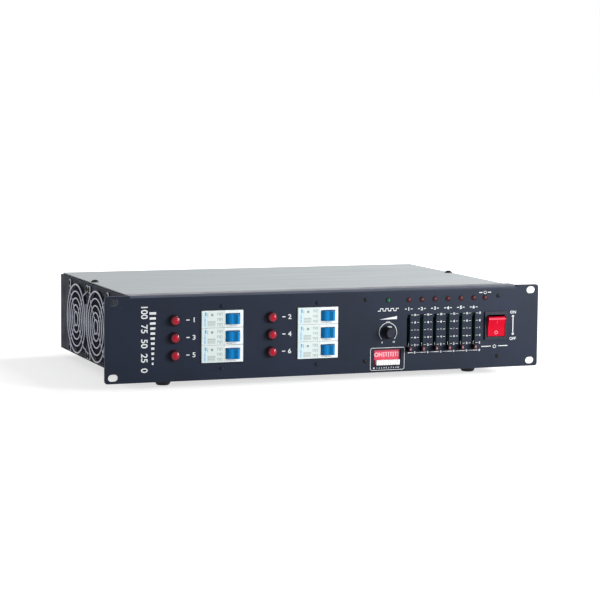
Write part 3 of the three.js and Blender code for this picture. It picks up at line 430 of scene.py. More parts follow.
# the paper keeps the shadow near the pack and turns plain white further out
away = addNode(paper, "VectorMath", {"operation": "LENGTH"}, {0: where})
fade = addRange(paper, away.outputs["Value"], *studio["floorClear"], studio["floorGlow"],
                kind="SMOOTHSTEP")
shown = addNode(paper, "Math", {"operation": "MULTIPLY"}, {0: addBackgroundRays(paper), 1: fade})
link(paper, shown, glow.inputs["Strength"])
both = addNode(paper, "AddShader", links={0: matt, 1: glow})
addNode(paper, "OutputMaterial", links={"Surface": both})
floorShape = bmesh.new()
bmesh.ops.create_grid(floorShape, x_segments=1, y_segments=1, size=studio["floorSize"] / 2)
floor = bpy.data.objects.new("floor", toMesh("floor", floorShape, None))
floor.data.materials.append(floorFinish)
bpy.context.scene.collection.objects.link(floor)
print("stage set")

# finishes

made = {}
# polyester powder coat, satin, its orange peel drawn twice as coarse to show
makeFinish("panelCoat", "#1e2637", "#1a212f", (60, 22), (0.36, 0.46), (1.3, 0.012), wear="#4a5260",
           rub=0.45, specks=9, ior=1.22)
# the same coat on the fold of the top edge, painted lighter as a highlight along the bend, and
# shinier
makeFinish("foldCoat", "#3d4454", "#353b49", (40, 18), (0.3, 0.4), (1.3, 0.008), ior=1.45)
# the same coat in black on the folded case
makeFinish("caseCoat", "#212937", "#1b222e", (45, 18), (0.6, 0.75), (1.2, 0.014), wear="#6a6d74",
           rub=0.5, specks=8, ior=1.25)
# zinc-plated sheet, rolled along x, so that its streaks run across the pack
makeFinish("rolledZinc", "#aeb3b5", "#a0a6a9", (4, 6), (0.6, 0.72), (1.0, 0.006), wear="#dfe2e4",
           rub=0.4, stretch=(26, 1, 1), metallic=0.3)
# moulded polyamide of the breakers, a fine spark-eroded grain
makeFinish("breakerWhite", "#eef3f1", "#e6ebe9", (12, 5), (0.36, 0.48), (0.35, 0.006), ior=1.53)
# paper label under clear film, a shade duller than the case
makeFinish("breakerLabel", "#d6e2e0", "#cad8d6", (9, 5), (0.42, 0.55), (0.3, 0.003))
# inks of its small signs, flat and matt
for name, colour, shade, size in (("labelGrey", "#8d999b", "#7a8789", 2),
                                  ("labelBlue", "#9cc0d6", "#a5b8d6", 2),
                                  ("labelTeal", "#6f9fb2", "#7b9cb8", 3),
                                  ("labelCyan", "#cbe4e9", "#c0dbe2", 3),
                                  ("labelPale", "#c3cdca", "#b8c3c0", 3)):
    makeFinish(name, colour, shade, (size, 3), (0.45, 0.55), (0.3, 0.002))
# glossy moulded toggles
makeFinish("toggleBlue", "#0580c0", "#0470ac", (6, 3), (0.2, 0.32), (0.5, 0.004), wear="#3f95c4",
           rub=0.6, ior=1.22)
# the same blue painted lighter, a highlight on the drum
makeFinish("toggleLight", "#1690dc", "#0f84d2", (5, 3), (0.25, 0.35), (0.5, 0.003), ior=1.22)
# clear acrylic lens over a dark lamp
makeFinish("lampRed", "#ba0629", "#a20521", (3, 3), (0.1, 0.14), (1.6, 0.002), ior=1.27)
# the same acrylic painted dark near its rim, as shade
makeFinish("lampRedDeep", "#4c0420", "#3c0318", (3, 3), (0.16, 0.22), (1.6, 0.002), ior=1.28)
# and a painted half shade between the two
makeFinish("lampRedMid", "#760622", "#62051c", (3, 3), (0.1, 0.14), (1.6, 0.002), ior=1.45)
# tinted epoxy of the small lamps, unlit and glossy
for name, colour, shade in (("ledRed", "#560519", "#420413"), ("ledGreen", "#08664c", "#064e3a")):
    makeFinish(name, colour, shade, (2, 2), (0.1, 0.18), (0.8, 0.006), ior=1.35)
# moulded black ABS with a fine texture
makeFinish("blackAbs", "#0b0c14", "#090a11", (7, 4), (0.35, 0.5), (0.35, 0.008), wear="#4a4c52",
           rub=0.2, ior=1.25)
# the same ABS, a little glossier and painted lighter: a lit face on the knob's front, and the
# colour of the switch bezel
makeFinish("knobFace", "#181e2e", "#141926", (7, 4), (0.3, 0.42), (0.35, 0.006), wear="#4a4c52",
           rub=0.2, ior=1.3)
# dull wine-red inlay in the fader caps
makeFinish("capInsert", "#7c2a42", "#662236", (2, 2), (0.4, 0.5), (0.4, 0.004))
# red polycarbonate of the rocker and the address switch
makeFinish("rockerRed", "#c80328", "#bb0323", (8, 4), (0.26, 0.36), (0.8, 0.004), ior=1.18)
# the same red where the raised end of the rocker catches the light, and its moulded marks
makeFinish("rockerCrest", "#f03c56", "#e4334c", (5, 3), (0.3, 0.4), (0.8, 0.004), ior=1.3)
makeFinish("rockerMark", "#f0a2ae", "#e892a0", (3, 2), (0.4, 0.5), (0.4, 0.003))
# the address switch in a paler red, its raised ink paler still, and its white keys
makeFinish("addressRed", "#d8415c", "#cb3853", (6, 4), (0.35, 0.45), (0.5, 0.004), ior=1.35)
makeFinish("addressInk", "#f0b9c2", "#e8a9b4", (3, 2), (0.5, 0.65), (0.4, 0.004))
makeFinish("keyWhite", "#fbfbfb", "#f1f2f2", (3, 2), (0.35, 0.5), (0.3, 0.004))
# epoxy screen ink, slightly uneven
makeFinish("whiteInk", "#e6e9ea", "#d2d6d9", (3, 2), (0.5, 0.65), (0.4, 0.006))
# bright nickel-chrome on drawn wire
makeFinish("chromeWire", "#a4a6b2", "#8c8e9a", (8, 3), (0.2, 0.35), (1.0, 0.004), metallic=1.0)
# glass-filled polyester of the fans
makeFinish("fanBlack", "#60636f", "#52545f", (10, 6), (0.3, 0.45), (0.5, 0.008), wear="#5a5c62",
           rub=0.35, ior=1.35)
# the same polyester on the blades, polished by the air and filmed with dust
makeFinish("bladeGrey", "#a3a5b0", "#8b8c97", (9, 5), (0.34, 0.5), (0.5, 0.006), wear="#a4a6ad",
           rub=0.35, ior=1.4)
# black oxide screws and zinc ones
makeFinish("blackScrew", "#07080c", "#0b0c12", (2, 1), (0.3, 0.42), (0.5, 0.004), wear="#3a3c42",
           rub=0.25, ior=1.3)
makeFinish("zincScrew", "#b9bcbd", "#a9adae", (2, 1), (0.25, 0.4), (0.5, 0.004), metallic=1.0)
# moulded rubber feet, chalky where they rub
makeFinish("footRubber", "#151517", "#1c1c1e", (6, 4), (0.7, 0.85), (0.6, 0.02), wear="#3c3c3f",
           rub=0.5)
# die-cast shells, satin nickel
makeFinish("satinNickel", "#a9adb0", "#989ca0", (7, 4), (0.28, 0.4), (0.6, 0.006), wear="#d0d3d6",
           rub=0.6, metallic=1.0)
# gold flash on the contacts, bright
makeFinish("contactGold", "#d8b76a", "#c9a65b", (2, 1), (0.2, 0.3), (0.5, 0.002), metallic=1.0)
# epoxy glass board under green solder mask
makeFinish("boardGreen", "#123f2c", "#0d3324", (5, 4), (0.3, 0.42), (0.8, 0.01))
# dull green-black phenolic of the fader tracks, also laid on the panel's slot walls as painted
# shade
makeFinish("trackDark", "#06302f", "#052625", (9, 4), (0.4, 0.55), (0.5, 0.006), ior=1.25)
# heat sink with its drawn lines, and the chokes' wound wire in amber enamel
makeFinish("extrudedAluminium", "#9fa3a6", "#8f9397", (3, 3), (0.35, 0.5), (0.8, 0.006),
           stretch=(1, 20, 1), metallic=1.0)
makeFinish("enamelledCopper", "#a85a2c", "#8e4822", (1.5, 2), (0.25, 0.4), (1.2, 0.2),
           stretch=(1, 1, 12), metallic=0.8)
print("finishes", len(made))

# screws, drawn once with the head towards -y

screws = {
    "small": (2.1, 1.1, 0.8),
    "fan": (3.3, 1.9, 1.1),
    "lid": (4.2, 2.5, 1.3),
    "crown": 0.55,
    "skirt": 0.35,
    "crossLong": 0.95,
    "crossThin": 0.24,
}


def screwMesh(name):
    radius, height, recess = screws[name]
    head = bmesh.new()
    profile = soften([(0, -height), (radius * screws["crown"], -height),
                      (radius, -height * screws["skirt"]), (radius, 0), (0, 0)], height * 0.4)
    addTurned(head, profile, steps=28)
    holder = addThing(name, toMesh(name, head, None))
    tool = bmesh.new()
    long, thin = radius * screws["crossLong"], radius * screws["crossThin"]
    for wide, tall in ((long, thin), (thin, long)):
        addPlate(tool, wide, tall, -height - 1, -height + recess)
    cutter = addThing(name + "_cut", toMesh(name + "_cut", tool, None))
    cut = holder.modifiers.new("cut", "BOOLEAN")
    cut.object = cutter
    cut.solver = "EXACT"
    cut.use_self = True
    mesh = meshOf(holder)
    for thing in (holder, cutter):
        bpy.data.objects.remove(thing)
    return mesh


def screwSet(name, mesh, places, finish, turn=Matrix.Identity(4)):
    shape = bmesh.new()
    spins = [Matrix.Rotation(0.7 * i + 0.3, 4, "Y") for i in range(len(places))]
    addCopies(shape, mesh, [Matrix.Translation(p) @ turn @ s for p, s in zip(places, spins)])
    setPiece(name, shape, finish, even=False)


smallScrew, fanScrew, lidScrew = [screwMesh(name) for name in ("small", "fan", "lid")]
toLeft, toRear, toTop = turnBy(-90, "Z"), turnBy(180, "Z"), turnBy(-90, "X")

# case

case = {
    "panelEdge": 0.35,
    "sheetEdge": 0.25,
    "railEdge": 0.15,
    "lidEdge": 0.45,
    "lidTop": 87.3,
    "lidScrewX": 208.0,
    "lidScrewY": 157.0,
    "screwSeat": -0.02,
    "panelScrews": [(40, 12.2), (40, 76.9), (193.5, 76.9), (193.5, 12.2)],
    "bankX": [-117.8, -13.6],
    "bankScrewX": [-118.2, -14.0],
    "bankScrewZ": [11.4, 75.2],
}
# the CAD's tight fold is opened to the softer one in the picture, with a deeper flange
fold = {
    "tight": 2.2,
    "open": 3.9,
    "inner": 1.8,
    "half": 215.1,
    "top": 88.1,
    "flangeBack": 14,
    "flangeLow": 86,
    "reach": 4.0,
    # where the fold's lighter coat, a painted highlight, starts and how far it runs to each side
    "highlightLow": 84.3,
    "highlightHalf": 215,
}
# the walls of each fader slot in the panel are painted dark as shade
slotShade = {"x": (86, 168), "y": (0.36, 1.9), "z": (20, 61)}
panelSheet = softCopy("front_panel", case["panelEdge"])
for vert in panelSheet.vertices:
    spot = toPanel @ vert.co
    if abs(spot.x) > fold["half"]:
        continue
    inward, up = fold["tight"] - spot.y, spot.z - fold["top"] + fold["tight"]
    radius = math.hypot(inward, up)
    if spot.y > fold["flangeBack"] and spot.z > fold["flangeLow"]:
        spot.y += fold["reach"]
    elif min(inward, up) > -0.01 and fold["inner"] < radius < fold["tight"] + 0.05:
        angle = math.atan2(up, inward)
        wide = fold["open"] - fold["tight"] + radius
        spot.y = fold["open"] - wide * math.cos(angle)
        spot.z = fold["top"] - fold["open"] + wide * math.sin(angle)
    vert.co = panelFrame @ spot
for face in panelSheet.polygons:
    x, y, z = toPanel @ face.center
    # slot walls take the dark track finish, as painted shade
    shadedSlotWall = within(x, slotShade["x"]) and within(y, slotShade["y"]) and within(z, slotShade["z"])
    if shadedSlotWall and face.normal.y > -0.5:
        face.material_index = 1
    # the fold's upward faces take the lighter coat: a painted highlight along the bend
    if z > fold["highlightLow"] and face.normal.z > 0.3 and abs(x) < fold["highlightHalf"]:
        face.material_index = 2
setPiece("front_panel_sheet", panelSheet, "panelCoat trackDark foldCoat",
         ["front_panel"])
for node, name in (("chassis_tray", "tray_sheet"), ("rear_panel", "rear_sheet")):
    setCopy(name, node, case["sheetEdge"], "caseCoat")
low, high = [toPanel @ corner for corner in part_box("top_cover")]
low.y += fold["reach"]
lid = bmesh.new()
addBox(lid, low, (high.x, high.y, case["lidTop"]), case["lidEdge"], 3)
setPiece("lid_sheet", lid, "rolledZinc", ["top_cover"])
screwSet("lid_screws", lidScrew,
         [(side * case["lidScrewX"], case["lidScrewY"], case["lidTop"]) for side in (-1, 1)],
         "blackScrew", toTop)
screwSet("panel_screws", smallScrew, [(x, case["screwSeat"], z) for x, z in case["panelScrews"]],
         "blackScrew")
screwSet("bank_screws", smallScrew,
         [(x, case["screwSeat"], z) for x in case["bankScrewX"] for z in case["bankScrewZ"]],
         "panelCoat")
for node in ("breaker_rail_left", "breaker_rail_right"):
    setCopy(node + "_strip", node, case["railEdge"], "zincScrew")

foot = {
    "sides": 48,
    "edge": 0.7,
    "profile": [(0, 1.8), (2.6, 1.8), (3.4, 0), (6.0, 0), (7.0, 1.0), (8.6, 4.6),
                (9.6, 7.6), (10, 9.7), (0, 9.7)],
}
shape = bmesh.new()
addTurned(shape, soften(foot["profile"], foot["edge"]), axis="z", steps=foot["sides"])
footMesh = toMesh("foot", shape, None)
for place in ("front_left", "front_right", "rear_left", "rear_right"):
    low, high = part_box("foot_" + place)
    spot = Matrix.Translation(((low.x + high.x) / 2, (low.y + high.y) / 2, low.z))
    setPiece("rubber_foot_" + place, footMesh, "footRubber", ["foot_" + place],
             spot @ Matrix.Scale(mm, 4))
print("case done")

# breakers

breaker = {
    "channels": ["1", "3", "5", "2", "4", "6"],
    "rows": [62.1, 44.3, 26.5],
    "edge": 0.3,
    "face": -1.5,
    "half": 8.6,
    "noseHalf": 22.1,
    "stepX": 2.3,
    "pocketX": (2.95, 18.7),
    "pocketZ": (5.75, 5.9),
    "inkHigh": 0.12,
    "windowX": -11.2,
    "windowZ": 4.4,
    "toggleX": 11.0,
    "toggleY": 1.5,
    "toggleEdge": 0.45,
    "toggleHalf": 5.1,
    "offAngle": 30,
    "drum": 7.2,
    "handle": 9.7,
    "handleRoot": 3,
    "handleTip": 1.6,
    "highlightBand": (-4.9, -1.2),
}


def breakerFront():
    # what is moulded and printed on the nose, drawn about its centre
    shape = bmesh.new()
    face, half = breaker["face"], breaker["half"]
    left, step, right = -breaker["noseHalf"], breaker["stepX"], breaker["noseHalf"]
    ink = face - breaker["inkHigh"]

    def addMark(x0, x1, z0, z1, edge=0.0, index=2, front=ink, back=face):
        addBox(shape, (x0, front, z0), (x1, back, z1), edge, index=index)

    # raised frame round the toggle's pocket
    (inner, outer), (shelf, side) = breaker["pocketX"], breaker["pocketZ"]
    for *limits, edge in ((step, right, shelf, half, 0.12), (step, right, -half, -shelf, 0.12),
                          (step, inner, -side, side, 0.1), (outer, right, -side, side, 0.12)):
        addMark(*limits, edge, 0, face - 0.3, face + 0.2)
    # label film on the left part, with a column of tinted fields
    addMark(left, step - 0.35, 0.25 - half, half - 0.25, 0.05, 1, face - 0.08, face + 0.1)
    addMark(left + 0.9, left + 5.4, 0.25 - half, half - 0.25, 0.04, 5, face - 0.1, face + 0.1)
    for low, tall in ((-7.0, 3.6), (-3.0, 3.8), (1.4, 1.0)):
        addMark(left + 2.3, left + 4.2, low, low + tall, 0.2, 3)
    addMark(left + 3.0, left + 4.8, 3.4, 7.2, 0.3, 6, ink - 0.03)
    # status window in its ring, a pale field and a column of outlined signs
    window = (breaker["windowX"], 0, breaker["windowZ"])
    addTurned(shape, [(0, ink), (1.35, ink), (1.35, face), (0, face)], window, steps=20, index=2)
    addTurned(shape, soften([(1.9, face), (1.9, face - 0.2), (2.3, face - 0.2), (2.3, face),
                             (1.9, face)], 0.05), window, steps=24, index=1)
    addMark(-16.2, -7.6, -7.2, -1.6, 0.05, 4)
    for i in range(4):
        addMark(-15.6 + 2.1 * i, -14.2 + 2.1 * i, -3.0, -2.5, front=ink - 0.03)
        addMark(-15.6 + 1.9 * i, -14.5 + 1.9 * i, -5.6, -5.2, front=ink - 0.03)
    addMark(-16.2, -15.7, 2.4, 6.4)
    for z in (6.4, 1.0, -4.2):
        for x, deep in ((-5.6, 2.7), (-2.4, 3.4)):
            addMark(x, x + 2.2, z - 0.4, z)
            addMark(x, x + 0.4, z - deep, z)
            addMark(x + 1.8, x + 2.2, z - deep, z)
        addMark(-3.4, -2.4, z - 1.9, z - 1.5)
    # row of small marks under the toggle
    for i in range(8):
        start = 3.6 + 1.5 * i
        end = start + (0.9 if i % 3 else 1.3)
        addMark(start, end, -7.55, -7.1, front=face - 0.34, back=face - 0.2)
    return toMesh("breaker_front", shape, None)


def toggleShape():
    # drum about the pivot and a handle with grip ridges, pointing to -y
    shape = bmesh.new()
    radius, half = breaker["drum"], breaker["toggleHalf"]
    gap = math.degrees(math.asin(breaker["handleRoot"] / radius))
    drum = [(x, -z) for x, z in arcPoints(0, 0, radius, gap - 90, 270 - gap, 40)]
    tip, corner = breaker["handle"], breaker["handleTip"]
    # the outline is drawn in x and y, pushed along y and then stood up
    addPrism(shape, [(corner, tip), *drum, (-corner, tip)], -half, half, place=turnBy(90, "X"))
    roundEdges(shape, sharpEdges(shape, 40), breaker["toggleEdge"])
    paint(shape, (), 0)
    for i in range(3):
        addBox(shape, (-1.8 + 0.1 * i, -8.9 + 0.9 * i, -4.3), (-1.25, -8.5 + 0.9 * i, 4.3), 0.1)
    mesh = toMesh("toggle", shape, turnBy(breaker["offAngle"], "Z"))
    # a lighter stripe painted on the drum as a highlight, left of the handle when the switch is
    # off
    for face in mesh.polygons:
        if within(face.center.x, breaker["highlightBand"]) and face.center.y < -radius * 0.6:
            face.material_index = 1
    return mesh


# every channel with its bank and its row's height
channels = [(channel, i // 3, breaker["rows"][i % 3])
            for i, channel in enumerate(breaker["channels"])]
frontMesh, toggleMesh = breakerFront(), toggleShape()
for channel, bank, z in channels:
    x = case["bankX"][bank]
    setCopy("breaker_case_" + channel, "breaker_" + channel, breaker["edge"], "breakerWhite")
    setPiece("breaker_front_" + channel, frontMesh,
             "breakerWhite breakerLabel labelGrey labelBlue labelPale labelCyan labelTeal",
             spot=spotOf(x, 0, z))
    setPiece("toggle_" + channel, toggleMesh, "toggleBlue toggleLight",
             ["breaker_toggle_" + channel], spotOf(x + breaker["toggleX"], breaker["toggleY"], z),
             body="toggle_" + channel)
print("breakers done")

# lamps and indicators

lamp = {
    "x": [-168.7, -64.5],
    "rim": 6.0,
    "dome": 5.4,
    "proud": 6.0,
    "barrel": 4.7,
    "nut": 6.916,
    "ledRadius": 2.42,
    "ledProud": 1.62,
    "ledHeight": 75.6,
    "ledFirst": 89.2,
    "ledPitch": 15.1,
    "signalX": 65.8,
    "powerX": 177.9,
}


def lampShape():
    shape = bmesh.new()
    rim, dome, barrel = lamp["rim"], lamp["dome"], lamp["barrel"]
    flange = [(0, -0.3), (rim, -0.3), (rim, -1.2), (dome, -1.5), (0, -1.5)]
    addTurned(shape, soften(flange, 0.3), steps=40, index=1)
    # lens: a skirt and shoulder painted dark as shade, a ring in painted half shade, then a flat
    # crown that carries the light
    skirt = [(0.99, -1.4), (1, -2.7), (0.97, -3.6), (0.88, -4.4), (0.78, -4.9)]
    ring = [(0.78, -4.9), (0.65, -5.25), (0.54, -5.5)]
    crown = [(0.54, -5.5), (0.35, -5.78), (0.17, -5.95), (0, -lamp["proud"])]
    for part, index in ((skirt, 3), (ring, 4), (crown, 0)):
        addTurned(shape, [(dome * r, y) for r, y in part], steps=48, index=index)
    addTurned(shape, [(0, -0.3), (barrel, -0.3), (barrel, 18), (0, 18)], steps=28, index=1)
    addPrism(shape, arcPoints(0, 0, lamp["nut"], 0, 300, 5), 2.3, 5.3, 0.2, index=2)
    return toMesh("lamp", shape, None)


lampMesh = lampShape()
for channel, bank, z in channels:
    setPiece("lamp_lens_" + channel, lampMesh, "lampRed blackAbs zincScrew lampRedDeep lampRedMid",
             ["channel_lamp_" + channel], spotOf(lamp["x"][bank], 0, z), even=False)

channelX = [lamp["ledFirst"] + i * lamp["ledPitch"] for i in range(6)]
# clear bead and its black holder
radius, proud = lamp["ledRadius"], lamp["ledProud"]
bead = [(0, -proud)] + [(radius * math.sin(math.radians(a)),
                         -proud + radius * 0.75 * (1 - math.cos(math.radians(a))))
                        for a in (15, 30, 45, 60, 75, 90)]
holder = soften([(radius, 0), (radius, -0.35), (3.0, -0.35), (3.15, 0), (radius, 0)], 0.1)
for name, places, finish in (("channel_indicators", channelX + [lamp["powerX"]], "ledRed"),
                             ("signal_indicator", [lamp["signalX"]], "ledGreen")):
    shape = bmesh.new()
    for x in places:
        addTurned(shape, bead + [(radius, 4.2), (0, 4.2)], (x, 0, lamp["ledHeight"]), steps=24)
    for x in places:
        addTurned(shape, holder, (x, 0, lamp["ledHeight"]), steps=28, index=1)
    setPiece(name, shape, finish + " blackAbs", even=False)

# control board, split into its real finishes

control = {
    "face": 9.59,
    "trackX": (84, 170),
    "trackTop": 70,
    "postX": (40, 194),
    "postHalf": 4,
    "stripX": 1.72,
    "stripHalf": 0.16,
    "stripY": (2.25, 2.75),
    "stripZ": (21.5, 59.4),
    "stripEdge": 0.08,
}
board = softCopy("control_board", 0)
for face in board.polygons:
    x, y, z = face.center / mm
    if y < panelBox[0].y / mm + control["face"]:
        track = within(x, control["trackX"]) and z < control["trackTop"]
        post = any(abs(x - middle) < control["postHalf"] for middle in control["postX"])
        face.material_index = 1 if track else 3 if post else 2
setPiece("control_board_assembly", board, "boardGreen trackDark blackAbs zincScrew",
         ["control_board"], shadeAngle=40)
shape = bmesh.new()
(near, far), (low, high) = control["stripY"], control["stripZ"]
for x in channelX:
    for side in (-1, 1):
        middle = x + side * control["stripX"]
        addBox(shape, (middle - control["stripHalf"], near, low),
               (middle + control["stripHalf"], far, high), control["stripEdge"])
setPiece("fader_guide_strips", shape, "trackDark")
print("lamps and board done")

# faders, knob, address switch and power rocker

fader = {
    "rest": 23.8,
    "cap": (3.4, 6.7, 5.4),
    "insert": (2.2, 3.8),
    "line": 0.32,
    "leaf": ((0.42, 0.5, 2.6), (0.76, 1.7, 5.9)),
    "stem": ((-1.2, -0.6, -2.2), (1.2, 7.3, 2.2)),
}
shape = bmesh.new()
wide, deep, tall = fader["cap"]
addPlate(shape, wide, tall, 0.2 - deep, -0.3, 0.35, 3)
wide, tall = fader["insert"]
addPlate(shape, wide, tall, -0.3 - deep, 0.6 - deep, 0.45, 3, 1)
addPlate(shape, wide - 0.8, fader["line"], -0.34 - deep, 0.2 - deep, 0.04, index=3)
# bright leaf of the wiper's lever, above the cap in the slot
addBox(shape, *fader["leaf"], 0.1, index=2)
addBox(shape, *fader["stem"], 0.15, index=2)
faderMesh = toMesh("fader", shape, None)
for i, x in enumerate(channelX, 1):
    setPiece(f"fader_cap_{i}", faderMesh, "blackAbs capInsert zincScrew whiteInk",
             [f"fader_{i}"], spotOf(x, 0, fader["rest"]), body=f"fader_cap_{i}")

knob = {
    "x": 65.8,
    "z": 42.0,
    "flutes": 18,
    "fluteDepth": 0.42,
    "skirt": [(0, -0.5), (6.7, -0.5), (6.7, -2.2), (6.2, -3.0), (0, -3.0)],
    "grip": [(0, -2.8), (6.15, -2.8), (5.9, -9.6), (5.5, -9.9), (5.0, -9.9)],
    "face": [(5.2, -9.8), (4.9, -9.9), (4.6, -9.9), (4.3, -9.65), (0, -9.65)],
    "shaft": [(0, -0.6), (3, -0.6), (3, 2.6), (0, 2.6)],
    "pointer": ((-1.9, -5.6, 5.2), (1.9, -0.9, 6.6)),
}
shape = bmesh.new()
addTurned(shape, soften(knob["skirt"], 0.3), steps=72)
addTurned(shape, soften(knob["grip"], 0.25), steps=144, flutes=knob["flutes"],
          dip=knob["fluteDepth"])
# the knob's front face takes the lighter finish, painted as lit
addTurned(shape, soften(knob["face"], 0.1), steps=72, index=2)
addTurned(shape, knob["shaft"], steps=28)
# white pointer rib on the skirt and up the grip, towards the top
addBox(shape, *knob["pointer"], 0.3, index=1)
setPiece("preheat_knob_cap", toMesh("preheat_knob_cap", shape, None),
         "blackAbs whiteInk knobFace", ["preheat_knob"],
         spotOf(knob["x"], 0, knob["z"]), body="knob")

address = {
    "x": 65.8,
    "z": 15.2,
    "edge": 0.2,
    "keys": 10,
    "pitch": 2.7,
    "key": (2.3, 5.4),
    "keyLow": -7.65,
    "face": 2.52,
}
setCopy("address_switch_body", "address_switch", address["edge"], "addressRed")
shape = bmesh.new()
wide, tall = address["key"]
base = address["keyLow"]
addBox(shape, (-wide / 2, -1.8, base), (wide / 2, 2.2, base + tall), 0.3, 3)
addBox(shape, (-wide / 2 + 0.35, -1.84, base + 1.2), (wide / 2 - 0.35, -1.6, base + 1.5), 0.03)
addBox(shape, (-0.55, 2.0, base + 0.3), (0.55, 4.3, base + 2.1), 0.1)
keyMesh = toMesh("address_key", shape, None)
keyX = [address["x"] + (i - (address["keys"] - 1) / 2) * address["pitch"]
        for i in range(address["keys"])]
for i, x in enumerate(keyX, 1):
    setPiece(f"address_key_cap_{i}", keyMesh, "keyWhite", [f"address_key_{i}"],
             spotOf(x, 0, address["z"]), body=f"key_{i}")

rocker = {
    "x": 190.5,
    "z": 45.0,
    "pivotY": 2,
    "wide": 20.3,
    "edge": 0.7,
    "bezelEdge": 0.4,
    "offTilt": 10,
    "outline": [(-6.4, -10.5), (-1.9, -10.5), (5.6, -7), (5.6, 7), (-1.9, 10.5), (-4.6, 10.4),
                (-5.9, 9.2), (-6.22, 8.0), (-5.75, 5.2), (-5.2, 1.6), (-5.2, -1.6),
                (-5.65, -5.2)],
    "crest": (7.4, 9.6),
    "markHigh": 0.1,
}
setCopy("power_switch_bezel", "power_switch_frame", rocker["bezelEdge"], "knobFace",
        3)
print("faders, knob and switches done")
shape = bmesh.new()
addPrism(shape, rocker["outline"], -rocker["wide"] / 2, rocker["wide"] / 2,
         place=turnBy(90, "Z"))
roundEdges(shape, sharpEdges(shape, 30), rocker["edge"], 3)
paint(shape, (), 0)

inkHigh = 0.06


def addStroke(shape, points, width, closed=False, high=inkHigh, index=0):
    # a printed line along points, evenly wide round its corners
    known = set(shape.faces)
    rings = []
    for point, along, step in alongLine(points, closed):
        side = Vector((-along.y, along.x)) * width / 2 / max(0.5, along.dot(step))
        ring = [(side, -high), (side, 0), (-side, 0), (-side, -high)]
        rings.append([shape.verts.new((point.x + s.x, y, point.y + s.y)) for s, y in ring])
    for one, two in zip(rings, rings[1:] + rings[:1] if closed else rings[1:]):
        for k in range(4):
            shape.faces.new((one[k], one[k - 1], two[k - 1], two[k]))
    if not closed:
        shape.faces.new(rings[0])
        shape.faces.new(rings[-1][::-1])
    paint(shape, known, index)


# the bar and the ring on the rocker, laid on its bent front
marks = bmesh.new()
addStroke(marks, [(0, 3.6), (0, 7.2)], 0.6, high=rocker["markHigh"], index=2)
addStroke(marks, arcPoints(0, -6.2, 1.6, 0, 345, 23), 0.5, True, rocker["markHigh"], 1)
front = sorted((z, y) for y, z in rocker["outline"] if y < -4.5)
for vert in marks.verts:
    for (z0, y0), (z1, y1) in zip(front, front[1:]):
        if z0 <= vert.co.z <= z1:
            vert.co.y += y0 + (y1 - y0) * (vert.co.z - z0) / (z1 - z0)
            break
addCopies(shape, toMesh("rocker_marks", marks, None), [Matrix.Identity(4)])
keyMesh = toMesh("power_rocker_key", shape, None)
for face in keyMesh.polygons:
    crest = within(face.center.z, rocker["crest"]) and face.center.y < -5
    if face.material_index == 0 and crest:
        face.material_index = 2
keyMesh.transform(turnBy(rocker["offTilt"], "X"))
setPiece("power_rocker_key", keyMesh, "rockerRed rockerMark rockerCrest",
         ["power_rocker"], spotOf(rocker["x"], rocker["pivotY"], rocker["z"]), body="rocker")

# printing on the panel

glyphs = {}


def addWords(shape, words, x, z, height, turn=0.0, wide=1.0, bold=0.016):
    if (words, bold) not in glyphs:
        line = bpy.data.curves.new("words", "FONT")
        line.body, line.offset, line.extrude = words, bold, 0.006
        holder = addThing("words", line)
        mesh = meshOf(holder)
        bpy.data.objects.remove(holder)
        low = [min(v.co[i] for v in mesh.vertices) for i in range(3)]
        high = [max(v.co[i] for v in mesh.vertices) for i in range(3)]
        middle = [-(a + b) / 2 for a, b in zip(low, high)]
        mesh.transform(Matrix.Scale(1 / (high[1] - low[1]), 4) @ Matrix.Translation(middle))
        glyphs[words, bold] = mesh
    place = Matrix.Translation((x, -0.04, z)) @ turnBy(turn, "Y") @ turnBy(90, "X")
    size = Matrix.Diagonal((height * wide, height, 3, 1))
    addCopies(shape, glyphs[words, bold], [place @ size], 0)


def addBar(shape, start, end, z, width):
    addStroke(shape, [(start, z), (end, z)], width)


def addDot(shape, x, z, radius, steps):
    addTurned(shape, [(0, -inkHigh), (radius, -inkHigh), (radius, 0), (0, 0)], (x, 0, z),
              steps=steps)


def addPowerMark(shape, x, z, radius):
    addStroke(shape, arcPoints(x, z, radius, 125, 415, 24), radius * 0.3)
    addStroke(shape, [(x, z + radius * 0.25), (x, z + radius * 1.25)], radius * 0.3)


printing = {
    "levels": ("100  75  50  25  0", -200.1, 43.5, 7.0),
    "wedgeX": -191.3,
    "wedgeTop": 70.0,
    "wedgePitch": 5.1,
    "wedgeHalf": 3.5,
    "wedgeTaper": 0.26,
    "channelLabelX": [-150.7, -47.3],
    "indicatorLabel": 65.8,
    "pulseStep": 3,
    "pulseHigh": 1.2,
    "riseHalf": 10,
    "riseZ": (55.6, 58.8),
    "powerZ": 81.0,
    "rockerX": 190.0,
    "rockerZ": 23,
    "arcRadius": 10.0,
    "arcEnds": (("0", -6.6, 31.5), ("10", 6.9, 31.6)),
    "window": (65.5, 14.0, 38.6, 23.4, 2.0),
    "keyLabel": 4.6,
    "keyDotX": 50.2,
    "scaleLow": 19.4,
    "scaleStep": 7.98,
    "onOffX": 211.6,
    "onOff": (("ON", 58.8), ("OFF", 30.3)),
    "onOffLine": (35.5, 54.2),
}
ink = bmesh.new()
